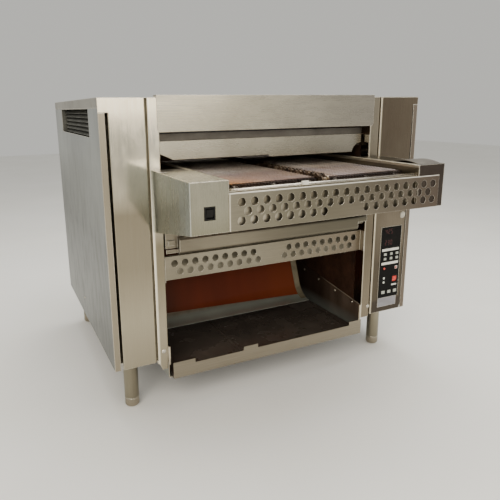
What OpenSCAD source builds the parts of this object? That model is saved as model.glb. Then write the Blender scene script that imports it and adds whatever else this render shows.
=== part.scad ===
// Gas conveyor broiler for a restaurant kitchen: a stainless cabinet on four legs, a feed conveyor that
// reaches out of the front, and a discharge cavity with a slide-out pan below it.
// Millimetres, +Z up, the front looks towards -Y. The origin lies on the floor under the middle.

/* [Cabinet] */
// Width over the side panels
body_w = 1010; // [980:5:1060]
// Depth of the cabinet, without the conveyor
body_d = 765; // [720:5:840]
// Height of the top above the floor
body_h = 859; // [835:1:900]
// Height of the cabinet's underside above the floor
leg_h = 150; // [140:2:160]
// Thickness of the stainless sheet
sheet_t = 1.5; // [1.2:0.1:2]
// Height of the flanges that hang from the top cover
cap_h = 24; // [18:1:30]
// Gap at the seam under the top cover
cap_seam = 0.5; // [0.4:0.1:0.8]
// Width of the angle iron of the base frame
angle_w = 40; // [34:1:46]
// Thickness of the angle iron
angle_t = 3; // [2.5:0.5:4]
// Width of the corner posts' legs
post_w = 30; // [24:1:34]
// Distance of the flue from the left inner wall
flue_left_gap = 55; // [45:1:70]
// Distance of the flue from the right inner wall
flue_right_gap = 58; // [45:1:70]
// Flue behind the front plane
flue_back = 290; // [270:5:310]
// Depth of the flue
flue_l = 300; // [260:5:320]

/* [Legs] */
// Diameter of the leg tubes
leg_d = 41.3; // [38:0.1:44]
// Wall of the leg tubes
leg_wall = 2; // [1.6:0.2:3]
// Middle of the left legs inside the left face
leg_left_in = 57; // [49:1:65]
// Middle of the right legs inside the right face
leg_right_in = 69; // [57:1:77]
// Middle of the front legs behind the front plane
leg_front = 70; // [66:1:80]
// Middle of the rear legs in front of the rear face
leg_rear = 36; // [30:1:44]
// Side of the square plate on top of each leg
leg_plate_w = 62; // [56:1:66]
// Thickness of that plate
leg_plate_t = 4; // [3:0.5:5]
// Height of the bullet foot
foot_h = 28; // [24:1:34]
// Rounding of the bullet foot
foot_r = 9; // [6:1:12]

/* [Front pillars] */
// Width of the column left of the opening
left_column_w = 150; // [145:1:155]
// Width of the column right of the opening
right_column_w = 187; // [181:1:191]
// Width of the left channel
left_channel_w = 30; // [26:1:34]
// Width of the right channel
right_channel_w = 33; // [29:1:36]
// Depth of the channels and of the covers' return flanges
channel_d = 40; // [34:1:46]
// Height of the channels' lower ends above the floor
channel_low = 144; // [141:1:147]
// Gap between a channel and the cover beside it
cover_gap = 5; // [4:0.5:6]
// Radius of the folds of the covers and channels
fold_r = 3; // [2.4:0.2:4]
// Width of the side panels' front returns
return_w = 16; // [13:1:19]
// Dark gap between the left cover and the side panel's return
left_return_gap = 7; // [5:0.5:9]
// The same gap on the right
right_return_gap = 2; // [1.5:0.5:4]
// Height of the flag that closes the left cover's upper corner
flag_h = 34; // [30:1:40]
// Height of the tab below the left channel
channel_tab_h = 19; // [14:1:22]

/* [Hood and entry] */
// Lap of the hood panel over the left channel
hood_left_lap = 5; // [3:1:9]
// Lap of the hood panel over the right channel
hood_right_lap = 9; // [6:1:13]
// Distance of the hood panel's lower edge below the cabinet's top
hood_h = 85.5; // [81:0.5:91]
// Rise of the hood panel above the cabinet's top
hood_rise = 5.5; // [4:0.5:8]
// Depth of the hood panel's upper and lower returns
hood_return = 24; // [18:1:28]
// Radius of the hood panel's lower corners
hood_corner = 8; // [6:1:10]
// Entry baffle behind the front plane
baffle_back = 31; // [27:1:36]
// Gap between the hood panel and the baffle
slot_h = 24.5; // [20:0.5:29]
// Height of the baffle
baffle_h = 54.5; // [51:0.5:57]
// Gap between the baffle's ends and the jambs
baffle_end_gap = 9; // [7:1:11]
// Length of the baffle's sloping corner
baffle_corner_w = 36; // [30:1:42]
// Height of the baffle's sloping corner
baffle_corner_h = 17; // [13:1:21]
// Radius of the baffle's round relief at the right
baffle_relief_r = 34; // [28:1:38]
// Place of the small step in the baffle's lower edge, left of the centre line
baffle_step_x = 21; // [10:1:40]
// Height of that step
baffle_step_h = 5.5; // [4:0.5:7]

/* [Vent slots] */
// Front end of the vent slots behind the front plane
vent_front = 125; // [115:1:140]
// Length of the vent slots
vent_l = 480; // [440:5:500]
// Height of the vent slots
vent_h = 72; // [60:1:76]
// Distance of the vent slots below the top cover's flange
vent_drop = 2; // [1.5:0.5:6]
// Number of louvre blades behind each slot
blade_n = 6; // [4:1:7]
// Width of a louvre blade
blade_w = 18; // [14:1:20]

/* [Feed conveyor] */
// Reach of the conveyor in front of the cabinet
reach = 263; // [245:1:280]
// Reach of the left box past the left jamb
box_left_lap = 25; // [21:1:29]
// Width of the left box
box_left_w = 91; // [87:1:94]
// Reach of the right box past the right jamb
box_right_lap = 31; // [27:0.5:32.5]
// Width of the right box
box_right_w = 89; // [85:1:92]
// Distance of the boxes' tops below the cabinet's top
conveyor_drop = 178; // [173:0.5:181]
// Height of the boxes
box_h = 114.5; // [111:0.5:121]
// Height of the outer walls at the cabinet
wall_h = 163; // [157:1:169]
// Length of the left box's top plate
top_plate_l = 203; // [190:1:215]
// Radius of the top plate's rear corner
top_plate_r = 35; // [25:1:42]
// Width of the lip on top of the right rail
lip_w = 12; // [9:1:14]
// Depth of the flange on top of the right box
box_flange = 15; // [12:1:18]
// Height of the rails
rail_h = 106; // [101:1:110]
// Rise of the drive cover's dome above the boxes' tops
dome_rise = 7; // [4:0.5:9]
// Length of the drive cover
dome_l = 100; // [86:1:110]
// Length and height of the gear case
gear_case_l = 80; // [72:1:84]
// Diameter of the drive motor
motor_d = 62; // [54:1:66]
// Length of the drive motor
motor_l = 110; // [90:5:130]

/* [Belts and chain] */
// Pitch of the drive chain
chain_pitch = 19.05; // [18.5:0.05:19.5]
// Teeth of the sprockets
sprocket_teeth = 12; // [12:2:14]
// Straight run between the shafts, in chain pitches
span_n = 29; // [27:2:29]
// Distance of the chain's pitch line below the boxes' tops
pitch_drop = 19; // [17:0.5:21]
// Diameter of the chain's rollers
roller_d = 11.91; // [11:0.01:12]
// Inner width of the chain
chain_in = 12.6; // [12:0.1:13]
// Thickness of the link plates
link_t = 2.3; // [2:0.1:2.4]
// Height of the link plates
link_h = 18; // [16:0.5:18]
// Diameter of the chain's pins
pin_d = 5.9; // [5:0.1:6]
// Middle of the chain, left of the centre line
chain_x = 10; // [8:0.5:12]
// Gap between the left rail and the left belt
belt_left_gap = 15; // [11:1:19]
// Gap between the right rail and the right belt
belt_right_gap = 13; // [10:1:17]
// Distance from the chain's middle to each belt's near edge
belt_near = 16; // [15:0.5:18]
// Diameter of the belts' cross rods
rod_d = 6; // [5:0.2:6.4]
// Thickness of the belts' mesh web
web_t = 2; // [1.5:0.1:2.5]
// Pitch of the belts' cross rods, rounded to fit the loop
rod_pitch = 12.7; // [11:0.1:15]
// Front shaft behind the conveyor's front plane
shaft_back = 63; // [60:0.5:66]
// Diameter of the shafts
shaft_d = 25; // [22:0.5:28]
// Width of the belt wheels
wheel_w = 12; // [9:1:15]
// Running clearance around the shafts
shaft_gap = 0.05; // [0.02:0.01:0.08]
// Clearance between the wheels and what runs over them
wheel_gap = 0.4; // [0.3:0.05:0.6]

/* [Perforated guards] */
// Diameter of the holes
hole_d = 20; // [18:0.5:21]
// Place of the first hole from a guard's left end
hole_first = 30; // [28:0.5:35]
// Pitch of the upper guard's holes
upper_pitch = 31.6; // [30:0.1:32]
// Height between the upper guard's rows
upper_row_h = 21; // [20:0.5:21.5]
// Distance of the upper guard's right end from the right box's outer wall
upper_guard_short = 18; // [13:1:21]
// Rise of the upper guard's lower edge above the boxes' lower edges
upper_guard_rise = 0.5; // [0.5:0.5:3]
// Height of the upper guard's face
upper_guard_h = 85; // [82:0.5:87]
// Depth of the upper guard's top flange
guard_flange = 10; // [6:1:12]
// Rise of the front cross rail above the upper guard
rim_rise = 3; // [2:0.5:6]
// Pitch of the lower guard's holes
lower_pitch = 30.5; // [29.5:0.1:31]
// Height between the lower guard's rows
lower_row_h = 24.5; // [22:0.5:25]
// Distance of the lower guard's lower edge below the tray's floor
lower_guard_drop = 93; // [88:1:98]
// Height of the lower guard
lower_guard_h = 66; // [62:1:68]
// Lower guard behind the front plane
lower_guard_back = 20; // [16:1:24]
// Gap between the lower guard and the sheet behind it
liner_gap = 16; // [10:1:20]

/* [Grease tray] */
// Distance of the tray's floor below the conveyor boxes' tops
tray_drop = 213; // [209:0.5:215]
// Height of the tray's walls
tray_h = 50; // [40:1:54]
// Depth of the tray behind the front plane
tray_l = 360; // [330:5:360]
// Height of the tray's bull-nosed front
nose_h = 48; // [44:1:52]
// Distance of the nose's lower edge below the tray's floor
nose_drop = 16; // [13:1:18]
// Reach of the nose in front of the cabinet
nose_out = 12; // [8:1:16]
// Distance of the nose's left end from the tray's left wall
nose_short = 34; // [28:1:38]
// Width of the notch at the nose's lower right corner
notch_w = 34; // [28:1:38]
// Height of that notch
notch_h = 26; // [20:1:30]
// Gap between the tray and the walls beside it
tray_side_gap = 5; // [4:0.5:7]
// Vertical and side clearance of what slides
slide_gap = 0.3; // [0.2:0.05:0.5]

/* [Discharge] */
// Angle of the chute from the vertical
chute_lean = 21; // [18:0.5:24]
// Radius of the chute's lower bend
chute_r = 70; // [60:1:76]
// Height of the chute's lip above the floor
chute_low = 150; // [148:1:156]
// Chute's lip behind the front plane
chute_back = 199; // [195:1:206]
// Distance of the chute's upper end below the conveyor boxes' tops
chute_drop = 26; // [16:1:41]
// Distance of the release sheet's right edge from the right jamb
sheet_short = 91; // [83:1:103]
// Rise of the release sheet's lower edge towards its left end
sheet_slant = 17; // [0:1:20]
// Width of the clamp strip beside the release sheet
clamp_w = 22; // [18:1:26]
// Depth of the bars that carry the chute
bar_w = 20; // [14:1:24]
// Height of the pan's underside above the floor
pan_low = 96; // [94:0.5:100]
// Height of the pan's front lip
lip_h = 36; // [33:1:38]
// Height of the three tabs on the lip
tab_h = 12; // [10:1:13]
// Reach of the pan's lip in front of the cabinet
pan_out = 13; // [10:1:18]
// Depth of the pan behind the front plane
pan_l = 400; // [370:5:420]
// Height of the pan's side and rear edges
pan_edge_h = 12; // [9:1:14]
// Gap between the pan and the skirts beside it
pan_side_gap = 7; // [6:0.5:8]
// Height of the skirts' upper edge at the front, above the floor
skirt_front_h = 190; // [184:1:196]
// Rise of the skirts' upper edge per millimetre of depth
skirt_rise = 0.14; // [0.1:0.01:0.18]

/* [Control panel] */
// Distance of the overlay from the right cover's left edge
overlay_in = 32; // [29:1:35]
// Width of the overlay
overlay_w = 84; // [80:1:88]
// Height of the overlay's lower edge above the floor
overlay_low = 200; // [197:1:203]
// Height of the overlay
overlay_h = 244; // [238:1:248]
// Thickness of the overlay
overlay_t = 1.2; // [1:0.1:2]
// Width of a small key
key_w = 10; // [8:0.5:11]
// Height of a small key
key_h = 8; // [7:0.5:9]
// Width of a lower key
big_key_w = 13; // [11:0.5:15]
// Height of a lower key
big_key_h = 10; // [8:0.5:12]
// Travel of the keys
key_travel = 1.2; // [0.8:0.1:1.6]
// Height of the keys above the overlay
key_proud = 1.8; // [1.5:0.1:2.4]
// Clearance around keys and rockers
key_gap = 0.3; // [0.2:0.05:0.4]
// Diameter of the lamps
lamp_d = 8; // [6:0.5:9]
// Tilt of the rocker paddles to either side
rocker_tilt = 9; // [6:1:11]

/* [Burners and gas] */
// Diameter of the lower burner tubes
burner_d = 24; // [20:1:26]
// Number of lower burner tubes
burner_n = 4; // [3:1:4]
// Spacing of the lower burner tubes
burner_pitch = 72; // [68:1:73]
// Middle of the first burner tube behind the front plane
burner_first = 81; // [76:1:90]
// Number of radiant burners above the belts
radiant_n = 3; // [2:1:3]
// Depth of a radiant burner
radiant_l = 95; // [84:1:100]
// Spacing of the radiant burners
radiant_pitch = 105; // [103:1:110]
// Middle of the first radiant burner behind the front plane
radiant_first = 95; // [92:1:98]
// Height of the radiant burners' faces above the conveyor boxes' tops
radiant_rise = 31; // [27:1:37]
// Height of a radiant burner
radiant_h = 50; // [42:1:56]
// Outer diameter of the gas pipe
pipe_d = 27; // [24:0.5:30]
// Diameter of the pipes to the lower burners
stub_d = 12; // [10:0.5:14]
// Diameter of the pipes to the radiant burners
spud_d = 16; // [14:0.5:18]
// Gas riser in front of the inner rear wall
riser_back = 60; // [50:1:80]

/* [Hidden] */

$fn = 48;
eps = 0.01;

// Planes of the cabinet
half_w = body_w / 2;
jamb_left = half_w - left_column_w;
jamb_right = half_w - right_column_w;
leg_left = half_w - leg_left_in;
leg_right = half_w - leg_right_in;
front = reach - (body_d + reach) / 2;
rear = front + body_d;
conv_front = front - reach;
seam_z = body_h - cap_h;
under_top = body_h - sheet_t;
frame_front = front + channel_d;
frame_top = leg_h + angle_w;
inner_x = half_w - sheet_t;
inner_back = rear - 34;
flag_z = under_top - flag_h;

// Hood and entry baffle
hood_left = jamb_left + hood_left_lap;
hood_right = jamb_right + hood_right_lap;
hood_low = body_h - hood_h;
hood_top = body_h + hood_rise;
baffle_high = hood_low - slot_h;
baffle_low = baffle_high - baffle_h;

// Feed conveyor: its levels hang from the top of its boxes
box_top = body_h - conveyor_drop;
box_low = box_top - box_h;
wall_low = box_top - wall_h;
rail_low = box_top - rail_h;
pitch_line = box_top - pitch_drop;
box_left_out = jamb_left + box_left_lap;
box_left_in = box_left_out - box_left_w;
box_right_out = jamb_right + box_right_lap;
box_right_in = box_right_out - box_right_w;
belt_left_out = box_left_in - belt_left_gap;
belt_right_out = box_right_in - belt_right_gap;
upper_guard_left = box_left_in;
upper_guard_right = box_right_out - upper_guard_short;
upper_guard_low = box_low + upper_guard_rise;
upper_guard_top = upper_guard_low + upper_guard_h;
rim_z = upper_guard_top + rim_rise;

// Levels of what lies under and over the belts
tray_low = box_top - tray_drop;
nose_low = tray_low - nose_drop;
lower_guard_low = tray_low - lower_guard_drop;
chute_high = box_top - chute_drop;
radiant_low = box_top + radiant_rise;
sheet_right = jamb_right - sheet_short;

// Covers beside the channels
left_cover_in = jamb_left + left_channel_w + cover_gap;
left_cover_out = half_w - return_w - left_return_gap;
right_cover_in = jamb_right + right_channel_w + cover_gap;
right_cover_out = half_w - return_w - right_return_gap;

// Chain loop: two sprockets of the same size, the straight runs a whole number of pitches long
pitch_r = chain_pitch / (2 * sin(180 / sprocket_teeth));
axle_z = pitch_line - pitch_r;
front_axle = conv_front + shaft_back;
rear_axle = front_axle + span_n * chain_pitch;
wrap_n = sprocket_teeth / 2;
link_n = 2 * (span_n + wrap_n);
wheel_r = pitch_r - rod_d / 2 - wheel_gap;
tooth_tip = pitch_r - roller_d / 2 - wheel_gap;
loop_l = 2 * span_n * chain_pitch + 2 * PI * pitch_r;
rod_n = round(loop_l / rod_pitch);
belt_left_in = chain_x + belt_near;
belt_right_in = belt_near - chain_x;
rail_left = -box_left_in;
rail_right = box_right_in;
rail_end = rear_axle + 40;
bearing_w = 14;
bearing_r = 28;
left_wheels = [for (k = [0.1, 0.5, 0.9]) -belt_left_out + k * (belt_left_out - belt_left_in)];
right_wheels = [for (k = [0.1, 0.5, 0.9]) belt_right_in + k * (belt_right_out - belt_right_in)];

// Chute: a straight back that turns into a lip
chute_arc_y = front + chute_back;
chute_arc_z = chute_low + chute_r;

// Pan and tray
pan_x0 = -jamb_left + sheet_t + pan_side_gap;
pan_x1 = jamb_right - sheet_t - pan_side_gap;
tray_x0 = -jamb_left + tray_side_gap;
tray_x1 = jamb_right - tray_side_gap;
runner_w = 14;
tray_back = front + tray_l;
tray_behind = 5;
tray_lug = [7, 9, 19, 14];

// Control panel places, measured from the overlay's lower left corner
overlay_left = right_cover_in + overlay_in;
key_cols = [19.5, 45.5, 70.5];
key_rows = [151.5, 136, 18.5];
display = [6, 176, 72, 61];
lamps = [[20, 102], [70.5, 100.5], [20.5, 68], [20.5, 53.5]];
rocker_at = [66, 61.5];
rocker_w = 26;
rocker_h = 30;
bezel_w = 2.5;
bezel_t = 1;
cutout = 4;
switch_at = [45 - box_left_out, box_low + 45.5];
pocket_w = rocker_w - 2 * bezel_w - 2.4;
pocket_h = rocker_h - 2 * bezel_w - 2.4;
pivot_back = 4;
power_pivot = [overlay_left + rocker_at.x, front - overlay_t + pivot_back, overlay_low + rocker_at.y];
conveyor_pivot = [switch_at.x, conv_front + sheet_t + pivot_back, switch_at.y];
key_back = 2;
latch_at = [overlay_left + overlay_w + 0.5, overlay_low + overlay_h + 36.5];
latch_d = 13;

// A block given by its limits
module slab(x0, x1, y0, y1, z0, z1) {
    translate([x0, y0, z0]) cube([x1 - x0, y1 - y0, z1 - z0]);
}

// An outline in Y and Z drawn out along X
module along_x(x0, x1) {
    translate([x0, 0, 0]) rotate([90, 0, 90]) linear_extrude(x1 - x0) children();
}

// An outline in X and Z drawn out along Y
module along_y(y0, y1) {
    translate([0, y1, 0]) rotate([90, 0, 0]) linear_extrude(y1 - y0) children();
}

module rod_x(d, x0, x1, y, z) {
    translate([x0, y, z]) rotate([0, 90, 0]) cylinder(d = d, h = x1 - x0);
}

module rod_y(d, y0, y1, x, z) {
    translate([x, y1, z]) rotate([90, 0, 0]) cylinder(d = d, h = y1 - y0);
}

module rod_z(d, z0, z1, x, y) {
    translate([x, y, z0]) cylinder(d = d, h = z1 - z0);
}

// Plan of a sheet folded back at both ends, its face on y = 0
module front_round(w, d, r) {
    translate([0, r]) square([w, d - r]);
    translate([r, 0]) square([w - 2 * r, d]);
    for (x = [r, w - r]) translate([x, r]) circle(r);
}

module folded_sheet(w, d, r) {
    difference() {
        front_round(w, d, r);
        translate([sheet_t, sheet_t]) front_round(w - 2 * sheet_t, d, r - sheet_t);
    }
}

// Outline with two lower corners rounded
module round_bottom(x0, x1, z0, z1, r) {
    translate([x0, z0 + r]) square([x1 - x0, z1 - z0 - r]);
    translate([x0 + r, z0]) square([x1 - x0 - 2 * r, r]);
    for (x = [x0 + r, x1 - r]) translate([x, z0 + r]) circle(r);
}

// Base frame: two rings of angle iron under the side compartments, joined at the rear
module angle_ring(x0, x1) {
    difference() {
        slab(x0, x1, frame_front, rear - sheet_t, leg_h, frame_top);
        slab(x0 + angle_t, x1 - angle_t, frame_front + angle_t, rear - sheet_t - angle_t,
            leg_h + angle_t, frame_top + 1);
        slab(x0 + angle_w, x1 - angle_w, frame_front + angle_w, rear - sheet_t - angle_w,
            leg_h - 1, frame_top);
    }
}

module base_frame() {
    color("dimgray") union() {
        angle_ring(-inner_x, -jamb_left - sheet_t);
        angle_ring(jamb_right + sheet_t, inner_x);
        slab(-jamb_left - sheet_t - angle_t, jamb_right + sheet_t + angle_t, rear - sheet_t - angle_t,
            rear - sheet_t, leg_h, frame_top);
        slab(-jamb_left - sheet_t - angle_t, jamb_right + sheet_t + angle_t, rear - sheet_t - angle_w,
            rear - sheet_t, leg_h, leg_h + angle_t);
    }
}

module corner_post(sx, sy) {
    x = sx * inner_x;
    y = sy > 0 ? rear - sheet_t : frame_front;
    mirror([sx > 0 ? 1 : 0, 0, 0]) translate([-inner_x, y, frame_top]) mirror([0, sy > 0 ? 1 : 0, 0]) {
        cube([angle_t, post_w, under_top - frame_top]);
        cube([post_w, angle_t, under_top - frame_top]);
    }
}

module corner_posts() {
    color("dimgray") for (sx = [-1, 1], sy = [-1, 1]) corner_post(sx, sy);
}

leg_places = [for (x = [-leg_left, leg_right], y = [front + leg_front, rear - leg_rear]) [x, y]];

module legs() {
    color("silver") for (p = leg_places) union() {
        difference() {
            rod_z(leg_d, foot_h, leg_h - leg_plate_t + eps, p.x, p.y);
            rod_z(leg_d - 2 * leg_wall, foot_h - 1, leg_h - leg_plate_t, p.x, p.y);
        }
        translate([p.x, p.y, leg_h - leg_plate_t / 2])
            cube([leg_plate_w, leg_plate_w, leg_plate_t], center = true);
    }
}

// Bullet foot: a flat sole, a rounded edge and a straight rim under the tube
module feet() {
    color("gainsboro") for (p = leg_places) translate([p.x, p.y, 0]) rotate_extrude() difference() {
        union() {
            translate([0, foot_r]) square([leg_d / 2, foot_h - foot_r]);
            square([leg_d / 2 - foot_r, foot_h]);
            translate([leg_d / 2 - foot_r, foot_r]) circle(foot_r);
        }
        translate([-leg_d, -leg_d]) square([leg_d, 3 * leg_d]);
    }
}

// Side panel: skin, front return and the vent slot under the top cover's flange
module side_panel(return_top) {
    difference() {
        union() {
            slab(-half_w, -inner_x, front + sheet_t, rear, leg_h, seam_z - cap_seam);
            slab(-half_w, -half_w + return_w, front, front + sheet_t, leg_h, return_top - cap_seam);
        }
        slab(-half_w - 1, -inner_x + 1, front + vent_front, front + vent_front + vent_l,
            seam_z - vent_drop - vent_h, seam_z - vent_drop);
    }
}

module left_side_panel() {
    color("darkgray") side_panel(flag_z);
}

module right_side_panel() {
    color("darkgray") mirror([1, 0, 0]) side_panel(seam_z);
}

// Blades tilted behind each vent slot, held in end plates on the skin
module vent_louvre() {
    step = vent_h / blade_n;
    y0 = front + vent_front;
    for (y = [y0 - 3 * sheet_t, y0 + vent_l]) slab(-inner_x, -inner_x + 30, y, y + 3 * sheet_t,
        seam_z - vent_drop - vent_h, seam_z - vent_drop);
    for (i = [0:blade_n - 1]) translate([-inner_x + 16, y0, seam_z - vent_drop - vent_h + (i + 0.5) * step])
        rotate([0, -40, 0]) translate([-blade_w / 2, 0, -sheet_t / 2]) cube([blade_w, vent_l, sheet_t]);
}

module side_vent_louvres() {
    color("dimgray") {
        vent_louvre();
        mirror([1, 0, 0]) vent_louvre();
    }
}

// Rear panel with two banks of cooling slots and the hole for the gas pipe
gas_x = jamb_right + 60;
gas_z = axle_z;

module rear_panel() {
    color("darkgray") difference() {
        slab(-inner_x, inner_x, rear - sheet_t, rear, leg_h, seam_z - cap_seam);
        for (x = [-0.42, 0.42], i = [0:7]) translate([x * body_w, rear + 1, leg_h + 120 + 18 * i])
            rotate([90, 0, 0]) linear_extrude(sheet_t + 2) {
                square([90, 6], center = true);
                for (s = [-45, 45]) translate([s, 0]) circle(3);
            }
        rod_y(pipe_d + 12, rear - sheet_t - 1, rear + 1, gas_x, gas_z);
    }
}

// Top cover with flanges on three sides and the flue opening with its collar
flue = [flue_left_gap - jamb_left, front + flue_back];
flue_w = jamb_left + jamb_right - flue_left_gap - flue_right_gap;

module top_cover() {
    color("silver") difference() {
        union() {
            slab(-half_w, half_w, front, rear, under_top, body_h);
            for (s = [0, 1]) mirror([s, 0, 0])
                slab(-half_w, -inner_x, front + sheet_t, rear, seam_z, body_h);
            slab(-half_w, half_w, rear - sheet_t, rear, seam_z, body_h);
            translate([flue.x - sheet_t, flue.y - sheet_t, seam_z])
                cube([flue_w + 2 * sheet_t, flue_l + 2 * sheet_t, cap_h]);
        }
        translate([flue.x, flue.y, seam_z - 1]) cube([flue_w, flue_l, cap_h + 2]);
    }
}

// Front covers: folded sheets whose flags close the corner under the top cover
module left_front_cover() {
    w = left_cover_out - left_cover_in;
    color("tan") union() {
        translate([-left_cover_out, front, leg_h]) linear_extrude(under_top - leg_h)
            folded_sheet(w, channel_d, fold_r);
        slab(-half_w, -left_cover_out + fold_r, front, front + sheet_t, flag_z, under_top);
    }
}

module right_front_cover() {
    w = right_cover_out - right_cover_in;
    color("rosybrown") difference() {
        union() {
            translate([right_cover_in, front, leg_h]) linear_extrude(under_top - leg_h)
                folded_sheet(w, channel_d, fold_r);
            slab(right_cover_out - fold_r, half_w, front, front + sheet_t, seam_z, under_top);
        }
        slab(overlay_left + cutout, overlay_left + overlay_w - cutout, front - 1, front + sheet_t + 1,
            overlay_low + cutout, overlay_low + overlay_h - cutout);
        rod_y(latch_d + 2 * key_gap, front - 1, front + sheet_t + 1, latch_at.x, latch_at.y);
    }
}

module left_channel() {
    x0 = -jamb_left - left_channel_w;
    color("wheat") union() {
        translate([x0, front, channel_low]) linear_extrude(under_top - channel_low)
            folded_sheet(left_channel_w, channel_d, fold_r);
        along_y(front, front + sheet_t) polygon([[x0 + fold_r, channel_low + 1],
            [x0 + fold_r + 8, channel_low - channel_tab_h],
            [-jamb_left - fold_r, channel_low - channel_tab_h], [-jamb_left - fold_r, channel_low + 1]]);
    }
}

module right_channel() {
    z1 = skirt_front_h - 2;
    color("wheat") union() {
        translate([jamb_right, front, channel_low]) linear_extrude(under_top - channel_low)
            folded_sheet(right_channel_w, channel_d, fold_r);
        along_y(front, front + sheet_t) polygon([[jamb_right - 4, channel_low],
            [jamb_right + fold_r, channel_low], [jamb_right + fold_r, z1 + 4], [jamb_right - 4, z1]]);
    }
}

// Hood panel laps the channels' faces and, with a folded cap, the front edge of the top cover
module hood_panel() {
    lap = front - sheet_t;
    back = front + hood_return;
    color("silver") union() {
        along_y(lap, front) round_bottom(-hood_left, hood_right, hood_low, hood_top, hood_corner);
        slab(-hood_left, hood_right, lap, back, hood_top - sheet_t, hood_top);
        slab(-hood_left, hood_right, back - sheet_t, back, body_h, hood_top);
        slab(-jamb_left, jamb_right, lap, back, hood_low, hood_low + sheet_t);
    }
}

// Entry baffle with a sloping corner, a small step and a round relief in its lower edge
module entry_baffle() {
    x0 = -jamb_left + baffle_end_gap;
    x1 = jamb_right - baffle_end_gap;
    y0 = front + baffle_back;
    color("darkkhaki") union() {
        along_y(y0, y0 + sheet_t) difference() {
            polygon([[x0, baffle_low + baffle_step_h + baffle_corner_h],
                [x0 + baffle_corner_w, baffle_low + baffle_step_h],
                [-baffle_step_x, baffle_low + baffle_step_h], [-baffle_step_x, baffle_low],
                [x1, baffle_low], [x1, baffle_high], [x0, baffle_high]]);
            translate([x1, baffle_low - 6]) circle(baffle_relief_r);
        }
        slab(-jamb_left, jamb_right, y0, y0 + 10, baffle_high - sheet_t, baffle_high);
    }
}

module left_inner_wall() {
    color("dimgray") slab(-jamb_left - sheet_t, -jamb_left, frame_front, inner_back, leg_h + angle_t,
        under_top);
}

module right_inner_wall() {
    color("saddlebrown") difference() {
        slab(jamb_right, jamb_right + sheet_t, frame_front, inner_back, leg_h + angle_t, under_top);
        for (y = burner_rows) rod_x(burner_d + 1, jamb_right - 1, jamb_right + sheet_t + 1, y, axle_z);
        for (y = radiant_rows) rod_x(spud_d + 1, jamb_right - 1, jamb_right + sheet_t + 1, y,
            radiant_low + radiant_h / 2);
    }
}

module inner_rear_wall() {
    color("dimgray") slab(-jamb_left - sheet_t, jamb_right + sheet_t, inner_back, inner_back + sheet_t,
        leg_h + angle_t, under_top);
}

// Burners
burner_rows = [for (i = [0:burner_n - 1]) front + burner_first + i * burner_pitch];
radiant_rows = [for (i = [0:radiant_n - 1]) front + radiant_first + i * radiant_pitch];
burner_end = jamb_right + 27;

module radiant_burner() {
    x0 = -jamb_left;
    l = jamb_left + jamb_right;
    difference() {
        translate([x0, -radiant_l / 2, 0]) cube([l, radiant_l, radiant_h]);
        for (i = [0:5]) translate([x0 + 12 + i * (l - 20) / 6, -radiant_l / 2 + 8, -1])
            cube([(l - 20) / 6 - 4, radiant_l - 16, 13]);
    }
}

module radiant_burners() {
    color("peru") for (y = radiant_rows) translate([0, y, radiant_low]) radiant_burner();
}

module lower_burners() {
    color("slategray") for (y = burner_rows) rod_x(burner_d, -jamb_left, burner_end, y, axle_z);
}

// Gas pipes: a stub to every burner, two headers, a riser and the inlet at the rear
module gas_manifold() {
    riser_y = inner_back - riser_back;
    high = radiant_low + radiant_h / 2;
    color("goldenrod") union() {
        rod_y(pipe_d, burner_rows[0] - 30, rear, gas_x, gas_z);
        rod_y(pipe_d, radiant_rows[0] - 30, riser_y, gas_x, high);
        rod_z(pipe_d, gas_z, high, gas_x, riser_y);
        for (y = burner_rows) rod_x(stub_d, burner_end, gas_x, y, gas_z);
        for (y = radiant_rows) rod_x(spud_d, jamb_right, gas_x, y, high);
    }
}

module gas_valve() {
    y0 = inner_back - 30;
    color("firebrick") difference() {
        union() {
            slab(gas_x - 30, gas_x + 30, y0 - 70, y0 - 60 + 60, gas_z - 32, gas_z - pipe_d / 2 - 6);
            slab(gas_x - 24, gas_x + 24, y0 - 64, y0 - 46, gas_z - 24, gas_z + 24);
            slab(gas_x - 24, gas_x + 24, y0 - 24, y0 - 6, gas_z - 24, gas_z + 24);
            rod_z(30, gas_z - 56, gas_z - 31, gas_x, y0 - 35);
        }
        rod_y(pipe_d + 0.1, y0 - 80, y0 + 80, gas_x, gas_z);
        rod_z(pipe_d + 4, gas_z, gas_z + 60, gas_x, y0 - 30);
    }
}

// Place of the chute's straight face at a height
function chute_y(z) = chute_arc_y + chute_r / cos(chute_lean) + (z - chute_arc_z) * tan(chute_lean);

// Everything before the chute's face at one radius: the bend and the straight back above it
module chute_face(r) {
    circle(r, $fn = 96);
    translate([-2 * chute_r, 0]) square([2 * chute_r + r, (chute_high - chute_low) / cos(chute_lean)]);
}

// Layer of the chute between two depths below its running face, from one height upwards
module chute_layer(top, bottom, from_z) {
    intersection() {
        translate([chute_arc_y, chute_arc_z]) rotate(-chute_lean) difference() {
            chute_face(chute_r + bottom);
            chute_face(chute_r + top);
        }
        translate([chute_arc_y, from_z]) square([body_d, chute_high - from_z]);
    }
}

// The chute hangs on two flat bars between the inner walls
module discharge_chute() {
    color("dimgray") union() {
        along_x(-jamb_left + sheet_t, sheet_right + clamp_w) chute_layer(0, sheet_t, chute_low - 5);
        for (z = [2 * chute_low, chute_high - 2 * chute_drop]) slab(-jamb_left, jamb_right, chute_y(z),
            chute_y(z) + bar_w, z - 3, z);
    }
}

// The release sheet hangs a little askew, higher at its left end
module release_sheet() {
    low = chute_low + 13;
    color("maroon") difference() {
        along_x(-jamb_left + sheet_t, sheet_right) chute_layer(-1, 0, low);
        along_y(chute_arc_y - 1, chute_arc_y + 2 * chute_r) polygon([[-jamb_left, low - 1],
            [sheet_right, low - 1], [sheet_right, low], [-jamb_left, low + sheet_slant]]);
    }
}

module sheet_clamp() {
    color("lightgray") along_x(sheet_right, sheet_right + clamp_w) chute_layer(-2, 0, chute_low + 4);
}

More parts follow.
